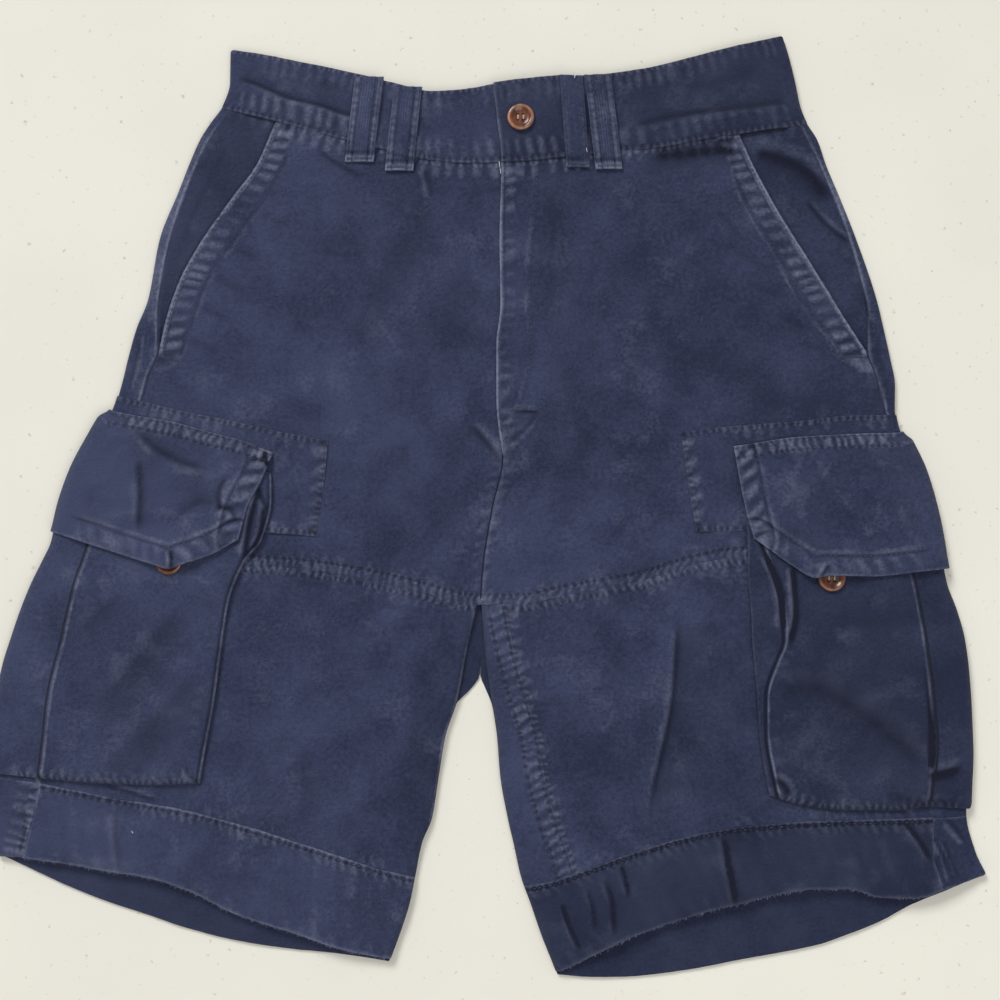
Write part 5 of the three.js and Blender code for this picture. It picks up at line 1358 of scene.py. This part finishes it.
# Belt loop: a strip over the waistband, arched between its sewn ends, with two rows of stitches
def makeLoop(name, upper, lower, width, belowSeam):
    side = "left" if upper < 0 else "right"
    start, end = float(waistTop(upper)) - 0.8, float(waistSeam(lower)) - belowSeam
    centreRail = lambda y: mix(upper, lower, (start - y) / (start - end))
    lines = [lineDown(shift(centreRail, by), start, end) for by in (-width / 2, width / 2)]

    def surface(x, y):
        relief = Relief(x, y)
        along = np.clip((start - y) / (start - end), 0, 1)
        across = (x - centreRail(y)) / (width / 2)
        for i, (line, sense) in enumerate(zip(lines, (1, -1))):
            relief.puckers(line, sorted((0.8 * sense, 4.2 * sense)), seed=111 + i + int(upper),
                           **loopLook["edgeLobes"])
            relief.furrow(line, loopLook["stitchAt"] * sense, 0.7, 0.35, 0.7)
            relief.wornEdge(line, 0.9, 0.25)
            relief.wornEdge(line, 0.8, 0.6, at=(loopLook["stitchAt"] - 1.6) * sense)
        relief.strip(lines[0], (4.8, width - 4.8), 0.45)
        ridges = np.cos(np.pi * across * width / loopLook["ridgePitch"]) ** 4
        relief.wear += loopLook["ridgeWear"] * ridges
        ends = np.exp(-((y - end - 1.2) / loopLook["endLength"]) ** 2)
        relief.wear += loopLook["endWear"] * ends * (0.7 + 0.3 * noise(x, y, 2.6, 5))
        relief.dark += 0.7 * np.exp(-((y - end - loopLook["tackAt"]) / loopLook["tackWidth"]) ** 2)
        relief.unevenness(113 + int(upper))
        relief.faded(loopLook["faint"].get(name, 1.0))
        band = ease((y - waistSeam(x) + 5) / 3)
        under = np.maximum(bandTop(side, x, y) * band, frontTop(side, x, y))
        arch = 0.9 * np.sin(np.pi * along) + 0.25 * (1 - across * across)
        return under + cloth["layerGap"] + cloth["loop"] + arch + relief.height, relief.marks()

    rails = [shift(centreRail, -width / 2), shift(centreRail, width / 2)]
    edges = (lambda x: start + 0 * x, lambda x: end + 0 * x)
    makeLaid(name, rails, edges, [spread(width, 0.8)], spread(60, 0.95), surface, thickness=cloth["loop"],
             material=wornTwill, slotName="worn_twill", restsOn=f"waistband_{side}", edgeWear=0.1)
    for line, sense in zip(lines, (1, -1)):
        sew(line, loopLook["stitchAt"] * sense, surface, 2)
    barTacks.append(((lower - width / 2 + 1.5, end + 2.2), (lower + width / 2 - 1.5, end + 2.2), surface))


for side in sides:
    makeWaistband(side)
for side in sides:
    makeBack(side)
    makeBackHem(side)
    makeFacing(side)
print("waistbands, backs and facings made")
frontSurfaces = {side: makeUpperFront(side) for side in sides}
for side in sides:
    makeLowerFront(side)
hemSurfaces = {side: makeFrontHem(side) for side in sides}
makeInseamTurn()
print("fronts and hems made")
for side in sides:
    makePatch(side)
    makePocket(side)
    makeFlap(side)
for name, row in beltLoops.items():
    makeLoop(name, *row)
print("patches, pockets, flaps and belt loops made")

barTacks += [
    (*fromPhoto([(506, 410), (537, 410)]), frontSurfaces["right"]),
    (*fromPhoto([(162, 356), (181, 361)]), frontSurfaces["left"]),
    (*fromPhoto([(840, 358), (866, 356)]), frontSurfaces["right"])]

thread = {"length": 2.5, "pitch": 3.15, "radius": 0.27, "sunk": 0.08, "fromFold": 3}


# Small spindle for each stitch: rings of five points round its line, closed by a point at both ends
def spindles(starts, ends, radius):
    axis = ends - starts
    length = np.linalg.norm(axis, axis=1, keepdims=True)
    axis = axis / length
    beside = np.cross(axis, [0, 0, 1])
    beside /= np.linalg.norm(beside, axis=1, keepdims=True)
    above = np.cross(beside, axis)
    angles = np.arange(5) * 2 * np.pi / 5
    ring = (np.cos(angles)[None, :, None] * beside[:, None] + np.sin(angles)[None, :, None] * above[:, None]) * radius
    near, far = starts + axis * length * 0.22, starts + axis * length * 0.78
    points = np.concatenate([starts[:, None], near[:, None] + ring, far[:, None] + ring, ends[:, None]], axis=1)
    faces = []
    for i in range(5):
        j = (i + 1) % 5
        faces += [(0, 1 + j, 1 + i), (1 + i, 1 + j, 6 + j), (1 + i, 6 + j, 6 + i), (6 + i, 6 + j, 11)]
    faces = np.array(faces)[None] + 12 * np.arange(len(starts))[:, None, None]
    return points.reshape(-1, 3), faces.reshape(-1, 3)


# Points each few millimetres along a line, moved to its left
def pointsAlong(line, at, every, free):
    tangent = np.gradient(line, axis=0)
    tangent /= np.linalg.norm(tangent, axis=1, keepdims=True)
    moved = line + at * np.column_stack([-tangent[:, 1], tangent[:, 0]])
    length = np.concatenate([[0], np.cumsum(np.hypot(*np.diff(moved, axis=0).T))])
    where = np.arange(free, length[-1] - free, every)
    return np.column_stack([np.interp(where, length, moved[:, 0]), np.interp(where, length, moved[:, 1])])


def threadFinish():
    finish = Finish("navyThread", {"Sheen Weight": 0.1, "Roughness": 0.85, "Specular IOR Level": 0.2})
    finish.output("Base Color", finish.blend(finish.grain(160).within(0.35, 0.65), (0.030, 0.036, 0.075, 1),
                                             (0.080, 0.090, 0.155, 1)))
    return finish.material


def makeStitches(material):
    starts, ends = [], []
    for line, at, surface, free in stitchRows:
        head = pointsAlong(line, at, thread["pitch"], free)
        tail = pointsAlong(line, at, thread["pitch"], free + thread["length"])
        count = min(len(head), len(tail))
        onTop = insideOf("left" if head[0, 0] < 0 else "right", *head[:count].T) > thread["fromFold"]
        for points, kept in ((head[:count][onTop], starts), (tail[:count][onTop], ends)):
            kept.append(np.column_stack([points, surface(points[:, 0], points[:, 1])[0] - thread["sunk"]]))
    for first, last, surface in barTacks:
        t = np.linspace(0, 1, max(6, int(math.dist(first, last) / 0.75)))[:, None]
        centre = mix(np.array(first), np.array(last), t)
        height = surface(centre[:, 0], centre[:, 1])[0][:, None] + 0.1
        run = (np.array(last) - first) / math.dist(first, last)
        half = np.array([-run[1], run[0]]) * 1.1
        starts.append(np.column_stack([centre - half, height]))
        ends.append(np.column_stack([centre + half + run * 0.4, height]))
    points, faces = spindles(np.concatenate(starts), np.concatenate(ends), thread["radius"])
    piece = makeMesh("stitching", points, faces, {}, material)


makeStitches(threadFinish())
print("stitches sewn")

fraying = {"every": 0.7, "longest": 1.7, "radius": 0.13, "drop": 0.6, "seed": 7}


# Loose thread ends along worn edges: short spindles that point away from the cloth at uneven angles
def makeFraying():
    chance = np.random.default_rng(fraying["seed"])
    edges = [(hemEdgeLine[side], hemSurfaces[side], -1.0, 1.0) for side in sides]
    edges += [(slashLine[side], frontSurfaces[side], -1.0 if side == "left" else 1.0, 0.5) for side in sides]
    starts, ends = [], []
    for line, surface, away, share in edges:
        points = pointsAlong(line, 0.0, fraying["every"], 3)
        tangent = np.gradient(points, axis=0)
        tangent /= np.linalg.norm(tangent, axis=1, keepdims=True)
        beside = away * np.column_stack([-tangent[:, 1], tangent[:, 0]])
        length = share * fraying["longest"] * chance.random(len(points))[:, None] ** 2.2
        lean = chance.normal(0, 0.7, len(points))[:, None]
        level = surface(points[:, 0], points[:, 1])[0] - fraying["drop"] * (0.4 + chance.random(len(points)))
        tip = points + beside * length + tangent * lean * length
        starts.append(np.column_stack([points - 0.4 * beside, level]))
        ends.append(np.column_stack([tip, level + 0.3 * chance.normal(0, 1, len(points))]))
    points, faces = spindles(np.concatenate(starts), np.concatenate(ends), fraying["radius"])
    finish = Finish("frayedThread", {"Roughness": 0.9, "Specular IOR Level": 0.2})
    finish.output("Base Color", finish.blend(finish.grain(300).within(0.35, 0.65), (0.10, 0.11, 0.18, 1),
                                             (0.24, 0.25, 0.34, 1)))
    makeMesh("frayed_edges", points, faces, {}, finish.material)


# Ends of white thread that were left in: pixels of both ends and their heights
whiteEnds = {"radius": 0.24, "rows": [
    (499, 160, 500, 168, 9.5, 9.3), (500, 167, 501, 174, 9.3, 9.2), (573, 72, 575, 79, 11.5, 12.5),
    (576, 74, 574, 80, 11.5, 12.5), (586, 149, 587, 154, 13.2, 13.1), (131, 831, 133, 834, 9.0, 9.0)]}


def makeWhiteEnds():
    rows = np.array(whiteEnds["rows"], float)
    starts = np.column_stack([fromPhoto(rows[:, 0:2], 10), rows[:, 4]])
    ends = np.column_stack([fromPhoto(rows[:, 2:4], 10), rows[:, 5]])
    points, faces = spindles(starts, ends, whiteEnds["radius"])
    finish = Finish("whiteThread", {"Roughness": 0.8})
    finish.output("Base Color", finish.blend(finish.grain(800).within(0.3, 0.7), (0.45, 0.45, 0.50, 1),
                                             (0.72, 0.72, 0.74, 1)))
    makeMesh("white_thread_ends", points, faces, {}, finish.material)


makeFraying()
makeWhiteEnds()
print("frayed edges made")

hornLook = {"deep": (0.040, 0.010, 0.005, 1), "brown": (0.18, 0.050, 0.020, 1), "pale": (0.42, 0.20, 0.115, 1)}


def hornFinish(look):
    finish = Finish("hornButton", {"Specular IOR Level": 0.5, "Coat Weight": 0.25})
    streaks = finish.node("ShaderNodeMapping", {}, {"Vector": finish.place, "Scale": (1, 0.3, 1)})
    inputs = {"Vector": streaks, "Scale": 420, "Detail": 4}
    grain = finish.node("ShaderNodeTexNoise", {}, inputs, "Fac").within(0.3, 0.7)
    rim = finish.attribute("rim")
    base = finish.blend(grain, look["deep"], look["brown"])
    finish.output("Base Color", finish.blend((rim * (0.5 + 0.8 * grain)).within(0, 1.2), base, look["pale"]))
    finish.output("Roughness", 0.24 + 0.14 * grain)
    return finish.material


# Turned button: its profile goes from the middle of the underside round the rim to the dished middle, and is
# carried round; four thread holes are pressed into the middle
def makeButton(name, seat, material, rimShare):
    radius, thickness = button["diameter"] / 2, button["thickness"]
    profile = np.array([
        (0, 0), (0.3, 0), (0.62, 0), (0.8, 0.1), (0.93, 0.3), (0.985, 0.45), (1, 0.6), (0.985, 0.76), (0.94, 0.9),
        (0.88, 0.98), (0.82, 1), (0.76, 0.96), (0.7, 0.86), (0.64, 0.75), (0.58, 0.66), (0.5, 0.6), (0.44, 0.575),
        (0.4, 0.57), (0.36, 0.565), (0.33, 0.56), (0.3, 0.56), (0.27, 0.56), (0.24, 0.56), (0.21, 0.56),
        (0.18, 0.56), (0.15, 0.56), (0.12, 0.56), (0.08, 0.56), (0.04, 0.56), (0.0, 0.56)])
    pointsAround = button["pointsAround"]
    around = np.linspace(0, 2 * np.pi, pointsAround, endpoint=False)
    r, height = profile[:, :1] * radius, profile[:, 1:] * thickness
    x, y = r * np.cos(around), r * np.sin(around)
    height = height + 0 * x
    upper = np.arange(len(profile))[:, None] > 10
    for i, j in ((1, 1), (1, -1), (-1, 1), (-1, -1)):
        near = np.hypot(x - i * button["holeOffset"], y - j * button["holeOffset"])
        pressed = 1 - ease((near - 0.55 * button["holeRadius"]) / 0.5)
        height = height - upper * button["holeDepth"] * pressed
    rim = rimShare * np.exp(-((profile[:, :1] - 0.9) / 0.12) ** 2) + 0 * x
    place = buttonPlaces[name]
    points = np.stack([x + place[0], y + place[1], height + seat], axis=2).reshape(-1, 3)
    index = np.arange(len(profile) * pointsAround).reshape(len(profile), pointsAround)
    following = np.roll(index, -1, axis=1)
    faces = np.column_stack([index[:-1].ravel(), following[:-1].ravel(), following[1:].ravel(), index[1:].ravel()])
    piece = makeMesh(f"{name}_turned", points, faces, {"rim": rim}, material)
    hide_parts(name)


def makeButtons():
    horn = hornFinish(hornLook)
    sewing = Finish("buttonThread", {"Base Color": (0.42, 0.36, 0.30, 1), "Roughness": 0.8})
    bend = sewing.grain(900).within(0.3, 0.7)
    sewing.output("Roughness", 0.7 + 0.2 * bend)
    for name, (x, y) in buttonPlaces.items():
        side = "left" if x < 0 else "right"
        if name == "button_waist":
            under = float(bandTop(side, np.array([x]), np.array([y]))[0])
        else:
            under = float(legTop(side, np.array([x]), np.array([y]))[0]) + cloth["pocketDepth"]
        seat = under + cloth["seamGap"]
        makeButton(name, seat, horn, 1.0 if name == "button_waist" else 0.25)
        hole, top = button["holeOffset"], seat + button["dish"] * button["thickness"] + 0.15
        strands = [(i * hole + by, -hole, i * hole + by, hole) for i in (-1, 1) for by in (-0.28, 0.0, 0.28)]
        starts = np.array([(x + a, y + b, top) for a, b, c, d in strands])
        ends = np.array([(x + c, y + d, top) for a, b, c, d in strands])
        points, faces = spindles(starts, ends, 0.27)
        piece = makeMesh(f"{name}_thread", points, faces, {}, sewing.material)


makeButtons()
print("buttons turned")


# Plain pale table, soft light from above and to the upper left
def makeStage():
    size = 4.0  # metres from the middle to each edge
    mesh = bpy.data.meshes.new("tableTop")
    level = -0.00006  # metres, just under the cloth
    corners = [(-size, -size, level), (size, -size, level), (size, size, level), (-size, size, level)]
    mesh.from_pydata(corners, [], [(0, 1, 2, 3)])
    floor = bpy.data.objects.new("tableTop", mesh)
    bpy.context.collection.objects.link(floor)
    finish = Finish("paleTable", {"Specular IOR Level": 0.25, "Roughness": 0.6})
    speckle = finish.grain(230, 3).within(0.66, 0.74)
    cast = finish.grain(9, 2).within(0.3, 0.7)
    plain = finish.blend(cast, (0.79, 0.77, 0.69, 1), (0.82, 0.80, 0.715, 1))
    finish.output("Base Color", finish.blend(0.7 * speckle, plain, (0.50, 0.47, 0.42, 1)))
    mesh.materials.append(finish.material)
    world = bpy.context.scene.world or bpy.data.worlds.new("studio")
    bpy.context.scene.world = world
    world.use_nodes = True
    world.node_tree.nodes["Background"].inputs["Color"].default_value = (1, 0.99, 0.97, 1)
    world.node_tree.nodes["Background"].inputs["Strength"].default_value = 0.33
    lights = {"windowLight": ((-3.0, 4.6, 5.0), 2.6, 348), "fillLight": ((0.6, -1.0, 2.2), 1.6, 21)}
    bpy.context.scene.view_settings.view_transform = "Standard"
    for name, (place, width, power) in lights.items():
        data = bpy.data.lights.new(name, "AREA")
        data.size = width
        data.energy = power
        lamp = bpy.data.objects.new(name, data)
        lamp.location = place
        lamp.rotation_euler = (-Vector(place)).to_track_quat("-Z", "Y").to_euler()
        bpy.context.collection.objects.link(lamp)


makeStage()
print("stage set,", len(madePieces), "pieces made")
